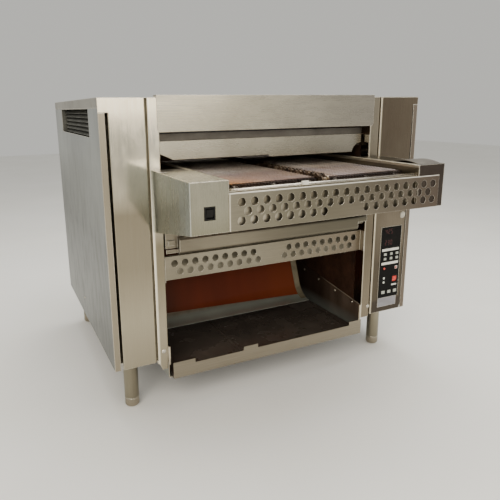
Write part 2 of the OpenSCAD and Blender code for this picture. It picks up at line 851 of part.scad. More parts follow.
// Skirts beside the pan, with a sloping upper edge, a ledge for the pan and a front flange
module skirt() {
    back = front + pan_l + 10;
    union() {
        along_x(0, sheet_t) polygon([[front + sheet_t, pan_low - 2], [back, pan_low - 2],
            [back, skirt_front_h + skirt_rise * (back - front)], [front + sheet_t, skirt_front_h]]);
        slab(0, runner_w, front + 4, back, pan_low - 2, pan_low - slide_gap);
        slab(0, pan_side_gap - 1, front + sheet_t, front + 2 * sheet_t, pan_low + lip_h + 2,
            skirt_front_h - 2);
    }
}

module cavity_skirts() {
    color("slategray") {
        translate([-jamb_left, 0, 0]) skirt();
        translate([jamb_right, 0, 0]) mirror([1, 0, 0]) skirt();
    }
}

// Number of holes that fit a guard's width, and a row of them with some in the middle left out
function hole_count(w, pitch) = floor((w - hole_first - hole_d) / pitch) + 1;

module hole_row(first, pitch, count, z, bare_from, bare_to) {
    for (i = [0:count - 1]) if (i < bare_from || i > bare_to)
        translate([first + i * pitch, z]) circle(d = hole_d);
}

module upper_guard() {
    x0 = -upper_guard_left;
    top = upper_guard_top;
    mid = upper_guard_low + upper_guard_h / 2;
    n = hole_count(upper_guard_right - x0, upper_pitch);
    color("lightslategray") union() {
        along_y(conv_front, conv_front + sheet_t) difference() {
            translate([x0, upper_guard_low]) square([upper_guard_right - x0, upper_guard_h]);
            hole_row(x0 + hole_first, upper_pitch, n, mid + upper_row_h, n, n);
            hole_row(x0 + hole_first + upper_pitch / 2, upper_pitch, n - 1, mid, n, n);
            hole_row(x0 + hole_first, upper_pitch, n, mid - upper_row_h, floor(n / 2) - 1, floor(n / 2) + 1);
        }
        slab(x0, box_right_in, conv_front, conv_front + guard_flange, top - sheet_t, top);
        slab(x0, box_right_in, conv_front, conv_front + 12, upper_guard_low, upper_guard_low + sheet_t);
        slab(x0, x0 + sheet_t, conv_front, conv_front + guard_flange, upper_guard_low, top);
    }
}

module lower_guard() {
    y0 = front + lower_guard_back;
    x0 = -jamb_left;
    z1 = lower_guard_low + (lower_guard_h - lower_row_h) / 2;
    n = hole_count(jamb_left + jamb_right, lower_pitch);
    x1 = x0 + hole_first + 4;
    color("lightslategray") union() {
        along_y(y0, y0 + sheet_t) difference() {
            translate([x0, lower_guard_low]) square([jamb_left + jamb_right, lower_guard_h]);
            hole_row(x1, lower_pitch, n, z1 + lower_row_h, floor(n / 2) - 1, floor(n / 2) + 1);
            hole_row(x1 + lower_pitch / 2, lower_pitch, n - 1, z1, floor(n / 2) - 1, floor(n / 2));
        }
        for (x = [x0, jamb_right - sheet_t]) slab(x, x + sheet_t, front + 1, y0 + sheet_t,
            lower_guard_low, lower_guard_low + lower_guard_h);
    }
}

// Plain sheet that closes the space behind the lower guard's holes
module guard_liner() {
    y0 = front + lower_guard_back + sheet_t;
    y1 = y0 + liner_gap;
    low = lower_guard_low + 2;
    top = lower_guard_low + lower_guard_h - 2;
    color("tan") union() {
        slab(-jamb_left, jamb_right, y1, y1 + sheet_t, low, top);
        for (x = [-jamb_left, jamb_right - sheet_t]) slab(x, x + sheet_t, y0, y1 + eps, low, top);
    }
}

// Ledges on the inner walls that carry the grease tray
module tray_runners() {
    z1 = tray_low - slide_gap;
    color("slategray") for (s = [0, 1]) translate([s == 0 ? -jamb_left : jamb_right, 0, 0])
        mirror([s, 0, 0]) union() {
            slab(0, runner_w, frame_front, tray_back - 10, z1 - sheet_t, z1);
            slab(0, sheet_t, frame_front, tray_back - 10, z1 - 20, z1);
        }
}

// Outer wall of a conveyor box: its lower edge drops towards the cabinet
module box_wall() {
    along_x(0, sheet_t) polygon([[conv_front + sheet_t, box_low], [conv_front + sheet_t, box_top],
        [front, box_top], [front, wall_low]]);
}

module conveyor_left_box() {
    y0 = conv_front + sheet_t;
    y1 = conv_front + top_plate_l;
    x0 = -box_left_out;
    x1 = -box_left_in - sheet_t;
    color("tan") difference() {
        union() {
            translate([x0, 0, 0]) box_wall();
            slab(x0, -box_left_in, y0, y0 + sheet_t, box_low, box_top);
            difference() {
                slab(x0, x1, y0, y1, box_top - sheet_t, box_top);
                translate([x0 + sheet_t, y1 - top_plate_r, box_top - 10]) difference() {
                    cube([top_plate_r, top_plate_r + 1, 20]);
                    translate([top_plate_r, 0, -1]) cylinder(r = top_plate_r, h = 22);
                }
            }
            slab(x0, x1, y1 - 60, front, box_top - 14, box_top - 14 + sheet_t);
        }
        translate([switch_at.x, y0, switch_at.y]) housing_hole();
    }
}

module conveyor_right_box() {
    y0 = conv_front + sheet_t;
    color("rosybrown") union() {
        translate([box_right_out - sheet_t, 0, 0]) box_wall();
        slab(box_right_in, box_right_out, y0, y0 + sheet_t, box_low, box_top);
        slab(box_right_in, box_right_out, y0, y0 + box_flange, box_top - sheet_t, box_top);
    }
}

// Long side plates that carry the shafts and the belt support, with brackets to the inner walls and a
// front cross rail, a plate with a rolled-in rim that stands behind the upper guard
module rail_plate(x0) {
    difference() {
        slab(x0, x0 + sheet_t, conv_front + 2 * sheet_t, rail_end, rail_low, box_top - sheet_t);
        for (y = [front_axle, rear_axle]) rod_x(shaft_d + 12, x0 - 1, x0 + sheet_t + 1, y, axle_z);
        for (y = burner_rows) rod_x(burner_d + 1.2, x0 - 1, x0 + sheet_t + 1, y, axle_z);
    }
}

module conveyor_rails() {
    lip_front = conv_front + sheet_t + box_flange;
    y0 = conv_front + guard_flange;
    color("silver") union() {
        rail_plate(rail_left - sheet_t);
        rail_plate(rail_right);
        slab(rail_right, rail_right + lip_w, lip_front, rail_end, box_top - sheet_t, box_top);
        slab(rail_left - lip_w, rail_left, conv_front + top_plate_l, rail_end, box_top - sheet_t, box_top);
        for (y = [front + 55, rail_end - 45]) {
            slab(-jamb_left, rail_left, y, y + 30, rail_low, rail_low + 3);
            slab(rail_right, jamb_right, y, y + 30, rail_low, rail_low + 3);
        }
        slab(rail_left - eps, rail_right + eps, y0, y0 + sheet_t, upper_guard_low + 2, rim_z);
        slab(rail_left - eps, rail_right + eps, y0, y0 + 4 * sheet_t, rim_z - sheet_t, rim_z);
    }
}

// Domed cover over the drive, between the right rail's lip and the outer wall
module drive_cover() {
    r = (dome_l * dome_l / 4 + dome_rise * dome_rise) / (2 * dome_rise);
    yc = conv_front + sheet_t + box_flange + dome_l / 2;
    color("gray") along_x(box_right_in + lip_w, box_right_out - sheet_t) intersection() {
        translate([yc, box_top + dome_rise - r]) difference() {
            circle(r, $fn = 180);
            circle(r - sheet_t, $fn = 180);
        }
        translate([yc - dome_l / 2, box_top - sheet_t]) square([dome_l, dome_rise + 2 * sheet_t]);
    }
}

// Gear motor: the gear case takes the drive shaft, the motor lies behind it
module drive_motor() {
    x0 = box_right_in + sheet_t + bearing_w;
    x1 = box_right_out - sheet_t;
    mid = (x0 + x1) / 2;
    half = gear_case_l / 2;
    color("darkslategray") difference() {
        union() {
            slab(x0, x1, front_axle - half, front_axle + half, axle_z - half - 2, axle_z + half);
            translate([0, front_axle + half, axle_z + 4]) {
                rod_y(motor_d, -1, motor_l, mid, 0);
                for (y = [0.1, 0.9]) rod_y(motor_d + 5, y * motor_l - 4, y * motor_l + 4, mid, 0);
            }
        }
        rod_x(shaft_d + 2 * shaft_gap, x0 - 1, x1 - 12, front_axle, axle_z);
    }
}

module bearing(x0) {
    difference() {
        rod_x(2 * bearing_r, x0, x0 + bearing_w, 0, 0);
        rod_x(shaft_d + 2 * shaft_gap, x0 - 1, x0 + bearing_w + 1, 0, 0);
    }
}

module shaft_bearings() {
    color("dimgray") for (y = [front_axle, rear_axle]) translate([0, y, axle_z]) {
        bearing(rail_left - sheet_t - bearing_w);
        bearing(rail_right + sheet_t);
    }
}

// Cross bars between the rails, and the strips that the upper runs slide on
module belt_support() {
    bars = concat([front_axle + 75, front - 20],
        [for (i = [0:burner_n - 2]) burner_rows[i] + burner_pitch / 2]);
    strip_top = pitch_line - rod_d / 2 - slide_gap;
    bar_top = axle_z + burner_d / 2 + 3;
    lanes = concat([for (k = [0.3, 0.7]) -belt_left_out + k * (belt_left_out - belt_left_in)],
        [for (k = [0.3, 0.7]) belt_right_in + k * (belt_right_out - belt_right_in)]);
    color("slategray") union() {
        for (y = bars) slab(rail_left, rail_right, y - 8, y + 8, axle_z - 12, bar_top);
        for (x = lanes) slab(x - 4, x + 4, front_axle + 48, rear_axle - 48, bar_top - 1, strip_top);
    }
}

// Loop of constant width round both axles
module loop_outline(r) {
    for (y = [front_axle, rear_axle]) translate([y, axle_z]) circle(r, $fn = 96);
    translate([front_axle, axle_z - r]) square([rear_axle - front_axle, 2 * r]);
}

// Point on the belts' pitch line at a distance along the loop, from above the front axle rearwards
function loop_point(s) =
    let (run = rear_axle - front_axle, turn = PI * pitch_r, a = 180 / turn)
    s < run ? [front_axle + s, axle_z + pitch_r]
    : s < run + turn ? [rear_axle + pitch_r * sin(a * (s - run)), axle_z + pitch_r * cos(a * (s - run))]
    : s < 2 * run + turn ? [rear_axle - (s - run - turn), axle_z - pitch_r]
    : [front_axle - pitch_r * sin(a * (s - 2 * run - turn)),
        axle_z - pitch_r * cos(a * (s - 2 * run - turn))];

module belt(x0, x1) {
    along_x(x0, x1) {
        difference() {
            loop_outline(pitch_r + web_t / 2);
            loop_outline(pitch_r - web_t / 2);
        }
        for (i = [0:rod_n - 1]) translate(loop_point(i * loop_l / rod_n)) circle(d = rod_d, $fn = 16);
    }
}

module left_belt() {
    color("thistle") belt(-belt_left_out, -belt_left_in);
}

module right_belt() {
    color("thistle") belt(belt_right_in, belt_right_out);
}

// Roller chain: point i of the loop, clockwise from above the front sprocket
function chain_point(i) =
    let (step = 360 / sprocket_teeth, j = i % link_n)
    j <= span_n ? [front_axle + j * chain_pitch, axle_z + pitch_r]
    : j <= span_n + wrap_n ? [rear_axle + pitch_r * sin(step * (j - span_n)),
        axle_z + pitch_r * cos(step * (j - span_n))]
    : j <= 2 * span_n + wrap_n ? [rear_axle - (j - span_n - wrap_n) * chain_pitch, axle_z - pitch_r]
    : [front_axle - pitch_r * sin(step * (j - 2 * span_n - wrap_n)),
        axle_z - pitch_r * cos(step * (j - 2 * span_n - wrap_n))];

// One link plate: two round eyes and a narrower waist, bored for the pins
module link_plate(bore) {
    difference() {
        union() {
            for (x = [0, chain_pitch]) translate([x, 0]) circle(d = link_h, $fn = 32);
            translate([0, -0.36 * link_h]) square([chain_pitch, 0.72 * link_h]);
        }
        for (x = [0, chain_pitch]) translate([x, 0]) circle(d = bore, $fn = 24);
    }
}

module inner_link() {
    for (s = [0, 1]) mirror([0, 0, s]) translate([0, 0, chain_in / 2]) linear_extrude(link_t)
        link_plate(pin_d + 0.2);
    for (x = [0, chain_pitch]) translate([x, 0, -chain_in / 2]) linear_extrude(chain_in) difference() {
        circle(d = roller_d, $fn = 24);
        circle(d = pin_d + 0.2, $fn = 24);
    }
}

module outer_link() {
    out = chain_in / 2 + link_t + 0.1;
    for (s = [0, 1]) mirror([0, 0, s]) translate([0, 0, out]) linear_extrude(link_t) link_plate(pin_d - 1);
    for (x = [0, chain_pitch]) translate([x, 0, -out - link_t - 1])
        cylinder(d = pin_d, h = 2 * (out + link_t + 1), $fn = 24);
}

module centre_chain() {
    color("darkgoldenrod") for (i = [0:link_n - 1]) {
        a = chain_point(i);
        b = chain_point(i + 1);
        translate([-chain_x, a.x, a.y]) rotate([90, 0, 90]) rotate(atan2(b.y - a.y, b.x - a.x))
            if (i % 2 == 0) inner_link(); else outer_link();
    }
}

// Sprocket: round-bottomed teeth whose tips stay just under the chain's rollers
module sprocket() {
    root = tooth_tip - 4.5;
    rotate([90, 0, 90]) linear_extrude(chain_in - 1.6, center = true) difference() {
        circle(tooth_tip, $fn = 72);
        for (i = [0:sprocket_teeth - 1]) rotate(i * 360 / sprocket_teeth)
            translate([pitch_r, 0]) circle(pitch_r - root, $fn = 48);
    }
}

module belt_wheel(x) {
    rod_x(2 * wheel_r, x - wheel_w / 2, x + wheel_w / 2, 0, 0);
    rod_x(shaft_d + 14, x - wheel_w, x + wheel_w, 0, 0);
}

module wheel_shaft(x0, x1) {
    union() {
        rod_x(shaft_d, x0, x1, 0, 0);
        for (x = concat(left_wheels, right_wheels)) belt_wheel(x);
        translate([-chain_x, 0, 0]) sprocket();
        rod_x(shaft_d + 14, -chain_x - 12, -chain_x + 12, 0, 0);
    }
}

module drive_shaft() {
    color("lightsteelblue") translate([0, front_axle, axle_z])
        wheel_shaft(rail_left - sheet_t - bearing_w + 2, box_right_out - sheet_t - 13);
}

module idler_shaft() {
    color("lightsteelblue") translate([0, rear_axle, axle_z])
        wheel_shaft(rail_left - sheet_t - bearing_w + 2, rail_right + sheet_t + bearing_w - 2);
}

// Grease tray: an open pan behind a bull-nosed front, with a lug and a low lip at its left end
module nose_outline(inset) {
    r = nose_h / 4;
    y0 = front - nose_out;
    intersection() {
        translate([y0, nose_low]) square([nose_out + tray_behind - inset, nose_h]);
        union() {
            translate([y0 + r, nose_low + inset]) square([nose_out + tray_behind, nose_h - 2 * inset]);
            translate([y0 + inset, nose_low + r]) square([r, nose_h - 2 * r]);
            for (z = [nose_low + r, nose_low + nose_h - r]) translate([y0 + r, z]) circle(r - inset);
        }
    }
}

module grease_tray() {
    y0 = front + tray_behind;
    x1 = tray_x1 - notch_w;
    color("darkgray") union() {
        difference() {
            slab(tray_x0, tray_x1, y0, tray_back, tray_low, tray_low + tray_h);
            slab(tray_x0 + sheet_t, tray_x1 - sheet_t, y0 + sheet_t, tray_back - sheet_t,
                tray_low + sheet_t, tray_low + tray_h + 1);
        }
        difference() {
            along_x(tray_x0 + nose_short, tray_x1) difference() {
                nose_outline(0);
                nose_outline(sheet_t);
            }
            slab(x1, tray_x1 + 1, front - nose_out - 1, y0 + 1, nose_low - 1, nose_low + notch_h);
        }
        for (x = [tray_x0 + nose_short, x1 - sheet_t]) along_x(x, x + sheet_t) nose_outline(0);
        slab(tray_x0, tray_x0 + nose_short + eps, front, front + sheet_t, nose_low + 4, nose_low + 14);
        translate([tray_x0 + tray_lug[0], front, tray_low + tray_lug[1]])
            cube([tray_lug[2], tray_behind + eps, tray_lug[3]]);
    }
}

// Discharge pan: a shallow floor in two lanes, with three tabs on its front lip
module lip_outline() {
    top = pan_low + lip_h;
    w = pan_x1 - pan_x0;
    polygon([[pan_x0 + 6, pan_low], [pan_x1, pan_low], [pan_x1, top], [pan_x0, top], [pan_x0, pan_low + 6]]);
    translate([pan_x0, top - eps]) square([0.1 * w, tab_h]);
    translate([pan_x0 + 0.335 * w, top - eps]) square([0.073 * w, tab_h]);
    translate([pan_x1 - 0.074 * w, top - eps]) square([0.074 * w, tab_h]);
}

module discharge_pan() {
    y0 = front - pan_out;
    back = front + pan_l;
    lane_x = pan_x0 + 0.37 * (pan_x1 - pan_x0);
    color("slategray") union() {
        along_y(y0, y0 + sheet_t) lip_outline();
        difference() {
            slab(pan_x0, pan_x1, y0, back, pan_low, pan_low + pan_edge_h);
            slab(pan_x0 + sheet_t, pan_x1 - sheet_t, y0 + sheet_t, back - sheet_t, pan_low + sheet_t,
                pan_low + pan_edge_h + 1);
        }
        along_y(y0 + sheet_t, back - sheet_t) translate([lane_x, pan_low + sheet_t]) difference() {
            circle(4);
            translate([-5, -10 - eps]) square([10, 10]);
        }
    }
}

// Places on the overlay
module on_overlay() {
    translate([overlay_left, front, overlay_low]) children();
}

// Centre of a key on the overlay; the lowest row has the larger keys
function key_at(row, col) = [key_cols[col], key_rows[row]];
function key_size(row) = row == 2 ? [big_key_w, big_key_h] : [key_w, key_h];

module control_overlay() {
    color("black") on_overlay() along_y(-overlay_t, 0) difference() {
        square([overlay_w, overlay_h]);
        translate([display[0], display[1]]) square([display[2], display[3]]);
        for (row = [0:2], col = [0:2]) translate(key_at(row, col))
            square(key_size(row) + [2 * key_gap, 2 * key_gap], center = true);
        translate(rocker_at) square([rocker_w - 2 * bezel_w, rocker_h - 2 * bezel_w], center = true);
    }
}

// Display and, behind the keys, the board that it stands on
module display_board() {
    board_y = key_back + key_travel + 0.6;
    color("darkred") on_overlay() union() {
        translate([display[0], -overlay_t, display[1]])
            cube([display[2], overlay_t + board_y + eps, display[3]]);
        difference() {
            translate([cutout + 1, board_y, cutout + 1])
                cube([overlay_w - 2 * cutout - 2, 1.6, overlay_h - 2 * cutout - 2]);
            translate([rocker_at.x, 0, rocker_at.y]) cube([rocker_w + 2, 40, rocker_h + 2], center = true);
        }
    }
}

// Lamps with domed lenses
module indicator_lamps() {
    color("red") on_overlay() for (p = lamps) translate([p.x, -overlay_t, p.y]) rotate([90, 0, 0])
        rotate_extrude() intersection() {
            translate([0, -lamp_d / 2]) circle(lamp_d * 0.75);
            square([lamp_d / 2, lamp_d]);
        }
}

// Rocker switch: a housing with a bezel, and a paddle that tilts in its pocket
module housing_hole() {
    cube([rocker_w - 2 * bezel_w, 40, rocker_h - 2 * bezel_w], center = true);
}

module housing(face) {
    difference() {
        union() {
            translate([-rocker_w / 2, -face - bezel_t, -rocker_h / 2]) cube([rocker_w, bezel_t, rocker_h]);
            translate([-rocker_w / 2 + bezel_w, -face - bezel_t, -rocker_h / 2 + bezel_w])
                cube([rocker_w - 2 * bezel_w, 14, rocker_h - 2 * bezel_w]);
        }
        translate([-pocket_w / 2, -face - bezel_t - 1, -pocket_h / 2]) cube([pocket_w, 13, pocket_h]);
    }
}

module rocker_housings() {
    color("black") {
        on_overlay() translate([rocker_at.x, 0, rocker_at.y]) housing(overlay_t);
        translate([switch_at.x, conv_front + sheet_t, switch_at.y]) housing(0);
    }
}

module paddle() {
    reach_z = pocket_h / 2 - 1.6;
    rotate([rocker_tilt, 0, 0]) union() {
        rod_x(4, -pocket_w / 2 + key_gap, pocket_w / 2 - key_gap, 0, 0);
        along_x(-pocket_w / 2 + key_gap + 0.7, pocket_w / 2 - key_gap - 0.7)
            polygon([[-5.4, 0], [-3.8, reach_z], [2.4, reach_z - 3], [2.4, 3 - reach_z], [-3.8, -reach_z]]);
    }
}

module power_rocker() {
    color("red") translate(power_pivot) paddle();
}

module conveyor_rocker() {
    color("black") translate(conveyor_pivot) paddle();
}

// Quarter-turn latch of the control cover
module panel_latch() {
    color("gray") translate([latch_at.x, 0, latch_at.y]) difference() {
        union() {
            rod_y(latch_d + 4, front - 2.2, front - slide_gap, 0, 0);
            rod_y(latch_d, front - 1, front + 8, 0, 0);
        }
        slab(-1, 1, front - 4, front - 1.2, -latch_d / 2, latch_d / 2);
    }
}

module key(row, col) {
    p = key_at(row, col);
    w = key_size(row);
    color("ivory") on_overlay() translate([p.x - w.x / 2, -overlay_t - key_proud, p.y - w.y / 2])
        cube([w.x, overlay_t + key_proud + key_back, w.y]);
}

base_frame();
corner_posts();
legs();
feet();
left_side_panel();
right_side_panel();
rear_panel();
top_cover();
left_front_cover();
right_front_cover();
left_channel();
right_channel();
hood_panel();
entry_baffle();
side_vent_louvres();
left_inner_wall();
right_inner_wall();
inner_rear_wall();
radiant_burners();
lower_burners();
gas_manifold();
gas_valve();
discharge_chute();
release_sheet();
sheet_clamp();
cavity_skirts();
lower_guard();
guard_liner();
tray_runners();
conveyor_left_box();
conveyor_right_box();
conveyor_rails();
upper_guard();
drive_cover();
drive_motor();
shaft_bearings();
belt_support();
left_belt();
right_belt();
centre_chain();
drive_shaft();
idler_shaft();
grease_tray();
discharge_pan();
control_overlay();
display_board();
indicator_lamps();
rocker_housings();
power_rocker();
conveyor_rocker();
panel_latch();
key(0, 0);  // key_a1
key(0, 1);  // key_a2
key(0, 2);  // key_a3
key(1, 0);  // key_b1
key(1, 1);  // key_b2
key(1, 2);  // key_b3
key(2, 0);  // key_c1
key(2, 1);  // key_c2
key(2, 2);  // key_c3
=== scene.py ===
"""Conveyor broiler: metal finishes, belts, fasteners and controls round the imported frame."""
import math

import bmesh
import bpy
from mathutils import Matrix, Vector, noise


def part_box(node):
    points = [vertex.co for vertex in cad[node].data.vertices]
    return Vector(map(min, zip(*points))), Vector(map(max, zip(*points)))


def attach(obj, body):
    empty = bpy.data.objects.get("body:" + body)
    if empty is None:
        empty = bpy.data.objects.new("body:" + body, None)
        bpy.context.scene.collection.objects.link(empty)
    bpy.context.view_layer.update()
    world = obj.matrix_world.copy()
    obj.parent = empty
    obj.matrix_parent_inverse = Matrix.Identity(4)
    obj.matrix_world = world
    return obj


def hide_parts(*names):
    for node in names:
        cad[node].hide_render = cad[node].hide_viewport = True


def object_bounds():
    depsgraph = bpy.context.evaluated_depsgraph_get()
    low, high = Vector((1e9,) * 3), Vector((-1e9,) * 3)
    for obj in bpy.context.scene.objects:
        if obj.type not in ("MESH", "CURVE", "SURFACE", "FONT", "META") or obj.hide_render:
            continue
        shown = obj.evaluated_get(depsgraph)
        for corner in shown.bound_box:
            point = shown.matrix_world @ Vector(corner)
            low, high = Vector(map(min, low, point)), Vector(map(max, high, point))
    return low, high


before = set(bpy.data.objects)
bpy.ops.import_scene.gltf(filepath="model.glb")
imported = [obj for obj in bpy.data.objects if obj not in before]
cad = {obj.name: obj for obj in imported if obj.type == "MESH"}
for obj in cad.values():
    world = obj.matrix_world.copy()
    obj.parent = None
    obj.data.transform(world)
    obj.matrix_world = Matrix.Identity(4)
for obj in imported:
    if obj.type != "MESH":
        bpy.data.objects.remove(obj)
cad_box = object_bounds()
MM = 0.001

# The cabinet's front plane, in millimetres
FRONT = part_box("left_front_cover")[0].y / MM

# Camera fitted to the photograph

PHOTO_SIZE = 500  # pixels, both ways
FOCAL_LENGTH = 500.78  # pixels
PRINCIPAL_POINT = (225.2, 226.9)  # pixels from the photograph's upper left corner
SENSOR_WIDTH = 36  # millimetres
EYE = (-0.7490, -1.4724, 0.8295)  # metres
YAW, PITCH, ROLL = 25.105, -13.284, -0.7307  # degrees


def set_camera():
    """The photograph's own view: left of the machine, the eye just below its top's level, looking down."""
    yaw, pitch, roll = math.radians(YAW), math.radians(PITCH), math.radians(ROLL)
    forward = Vector((math.sin(yaw) * math.cos(pitch), math.cos(yaw) * math.cos(pitch), math.sin(pitch)))
    right = Vector((math.cos(yaw), -math.sin(yaw), 0))
    up = right.cross(forward)
    level_right = right * math.cos(roll) + up * math.sin(roll)
    level_up = -right * math.sin(roll) + up * math.cos(roll)
    data = bpy.data.cameras.new("view_camera")
    data.sensor_width = SENSOR_WIDTH
    data.lens = FOCAL_LENGTH * SENSOR_WIDTH / PHOTO_SIZE
    data.shift_x = (PHOTO_SIZE / 2 - PRINCIPAL_POINT[0]) / PHOTO_SIZE
    data.shift_y = (PRINCIPAL_POINT[1] - PHOTO_SIZE / 2) / PHOTO_SIZE
    data.clip_start, data.clip_end = 0.05, 40
    camera = bpy.data.objects.new("view_camera", data)
    turn = Matrix((level_right, level_up, -forward)).transposed()
    camera.matrix_world = Matrix.Translation(EYE) @ turn.to_4x4()
    bpy.context.scene.collection.objects.link(camera)
    bpy.context.scene.camera = camera


# Material helpers

def linear(hex_colour):
    """sRGB hex to the linear colour that a socket takes."""
    parts = [int(hex_colour[i:i + 2], 16) / 255 for i in (1, 3, 5)]
    return tuple(c / 12.92 if c <= 0.04045 else ((c + 0.055) / 1.055) ** 2.4 for c in parts) + (1.0,)


def add(tree, kind, sockets=None, **settings):
    """A node with its settings; a socket's value is a number, a colour or another node's output."""
    node = tree.nodes.new(kind)
    for name, value in settings.items():
        setattr(node, name, value)
    for name, value in (sockets or {}).items():
        if isinstance(value, bpy.types.NodeSocket):
            tree.links.new(value, node.inputs[name])
        else:
            node.inputs[name].default_value = value
    return node


def start_material(name, **shader_values):
    """A material with one Principled shader; the shader's plain numbers are set on its own sockets."""
    material = bpy.data.materials.new(name)
    material.use_nodes = True
    tree = material.node_tree
    tree.nodes.clear()
    shader = add(tree, "ShaderNodeBsdfPrincipled")
    for socket, value in shader_values.items():
        shader.inputs[socket.replace("_", " ")].default_value = value
    add(tree, "ShaderNodeOutputMaterial", {"Surface": shader.outputs[0]})
    place = add(tree, "ShaderNodeTexCoord").outputs["Object"]
    return material, tree, shader, place


def ramp(tree, factor, stops):
    """Colours along a factor, as (position, hex) pairs."""
    node = add(tree, "ShaderNodeValToRGB", {"Fac": factor})
    while len(node.color_ramp.elements) < len(stops):
        node.color_ramp.elements.new(0.5)
    for element, (position, colour) in zip(node.color_ramp.elements, stops):
        element.position = position
        element.color = linear(colour)
    return node.outputs["Color"]


def streaks(tree, place, scale, detail, roughness=0.5, shift=(0.0, 0.0, 0.0)):
    """A cloudy pattern with its own scale on each axis, so that it is drawn out along the lower ones."""
    drawn = add(tree, "ShaderNodeMapping", {"Vector": place, "Scale": scale, "Location": shift})
    return add(tree, "ShaderNodeTexNoise", {"Vector": drawn.outputs[0], "Scale": 1.0, "Detail": detail,
                                            "Roughness": roughness}).outputs["Fac"]


def tinted(tree, colour, value, start, end, tint, amount=1.0, mode="MIX"):
    """Lays a tint over a colour: none of it where a value is at start, the whole amount at end."""
    grown = add(tree, "ShaderNodeMapRange", {"Value": value, "From Min": start, "From Max": end,
                                             "To Max": amount})
    return add(tree, "ShaderNodeMix", {0: grown.outputs["Result"], 6: colour, 7: linear(tint)},
               data_type="RGBA", blend_type=mode).outputs[2]


def shaded(tree, place, colour, shades):
    """Lays tints over a colour that grow along an axis, as (axis, start, end, hex) in millimetres; most are
    painted light and shade.
    """
    split = add(tree, "ShaderNodeSeparateXYZ", {"Vector": place})
    for axis, start, end, tint in shades:
        colour = tinted(tree, colour, split.outputs[axis], start * MM, end * MM, tint)
    return colour


def overlap(tree, *ranges):
    """1 where two ranges meet, 0 outside either; each is (value, start, end) and grows to its end."""
    first, second = [add(tree, "ShaderNodeMapRange", {"Value": value, "From Min": start, "From Max": end})
                     for value, start, end in ranges]
    return add(tree, "ShaderNodeMath", {0: first.outputs["Result"], 1: second.outputs["Result"]},
               operation="MULTIPLY").outputs[0]


def set_finish(tree, shader, colour, pattern, rough_low, rough_high, start=0.3, end=0.7):
    """Links a shader's colour, and a roughness that follows a pattern between two values."""
    rough = add(tree, "ShaderNodeMapRange", {"Value": pattern, "From Min": start, "From Max": end,
                                             "To Min": rough_low, "To Max": rough_high})
    tree.links.new(colour, shader.inputs["Base Color"])
    tree.links.new(rough.outputs["Result"], shader.inputs["Roughness"])


# Materials

def brushed_stainless(name, pale, deep, grain, rough, wear="#6E675A", soil=0.25, fold=2.6, shine="#F2EBDC",
                      shades=()):
    """304 stainless sheet with a No. 4 brushed finish: soft stretched reflections with a fine one-way
    grain, cloudy where hands and cloths have been, with painted light and shade along the axes (its shades),
    and a painted highlight along its folds."""
    material, tree, steel, place = start_material(name, Metallic=1.0)
    # Grain lines are about 0.2 mm apart in life and are drawn 1.4 mm apart so that they show.
    lines = streaks(tree, place, {"x": (9, 700, 700), "y": (700, 9, 700), "z": (700, 700, 9)}[grain], 2.0)
    # Clouds about 250 mm across: the sheet isn't quite flat and its finish varies.
    clouds = add(tree, "ShaderNodeTexNoise", {"Vector": place, "Scale": 4.0, "Detail": 3.0,
                                              "Roughness": 0.5}).outputs["Fac"]
    # Smears about 33 mm across and 100 mm long, wiped the way of the grain.
    smears = streaks(tree, place, {"x": (10, 30, 30), "y": (30, 10, 30), "z": (30, 30, 10)}[grain], 4.0, 0.62)
    body = shaded(tree, place, ramp(tree, clouds, [(0.30, deep), (0.70, pale)]), shades)
    body = tinted(tree, body, lines, 0.35, 0.65, deep, 0.12, "MULTIPLY")
    body = tinted(tree, body, smears, 0.56, 0.80, wear, soil)
    grain_gloss = add(tree, "ShaderNodeMapRange", {"Value": lines, "From Min": 0.3, "From Max": 0.7,
                                                   "To Min": rough - 0.03, "To Max": rough + 0.04})
    smear_gloss = add(tree, "ShaderNodeMapRange", {"Value": smears, "From Min": 0.45, "From Max": 0.75,
                                                   "To Max": 0.10})
    gloss = add(tree, "ShaderNodeMath", {0: grain_gloss.outputs["Result"], 1: smear_gloss.outputs["Result"]},
                operation="ADD")
    soft_fold = add(tree, "ShaderNodeBevel", {"Radius": fold * MM}, samples=4)
    flat = add(tree, "ShaderNodeNewGeometry").outputs["Normal"]
    turn = add(tree, "ShaderNodeVectorMath", {0: soft_fold.outputs[0], 1: flat}, operation="DOT_PRODUCT")
    # Painted highlight: the colour is lightened towards shine along folds and edges, where the bevelled
    # normal turns.
    body = tinted(tree, body, turn.outputs["Value"], 0.995, 0.90, shine, 0.9)
    relief = add(tree, "ShaderNodeBump", {"Height": lines, "Strength": 0.06, "Distance": 0.0004,
                                          "Normal": soft_fold.outputs[0]})
    relief = add(tree, "ShaderNodeBump", {"Height": clouds, "Strength": 0.10, "Distance": 0.006,
                                          "Normal": relief.outputs[0]})
    tree.links.new(body, steel.inputs["Base Color"])
    tree.links.new(gloss.outputs[0], steel.inputs["Roughness"])
    tree.links.new(relief.outputs[0], steel.inputs["Normal"])
    return material


def scaled_steel(name, pale, deep, rough=0.62, metallic=0.75, grain_mm=14, shades=()):
    """Plain steel that has been through the heat: brown scale in patches, no shine left."""
    material, tree, steel, place = start_material(name, Metallic=metallic)
    patch_mm, grit_mm = grain_mm * 6, grain_mm / 4
    patches = add(tree, "ShaderNodeTexNoise", {"Vector": place, "Scale": 1000 / patch_mm, "Detail": 5.0,
                                               "Roughness": 0.65}).outputs["Fac"]
    grit = add(tree, "ShaderNodeTexNoise", {"Vector": place, "Scale": 1000 / grit_mm,
                                            "Detail": 2.0}).outputs["Fac"]
    scale = shaded(tree, place, ramp(tree, patches, [(0.32, deep), (0.68, pale)]), shades)
    set_finish(tree, steel, scale, patches, rough + 0.12, rough - 0.10)
    relief = add(tree, "ShaderNodeBump", {"Height": grit, "Strength": 0.25, "Distance": 0.0006})
    tree.links.new(relief.outputs[0], steel.inputs["Normal"])
    return material


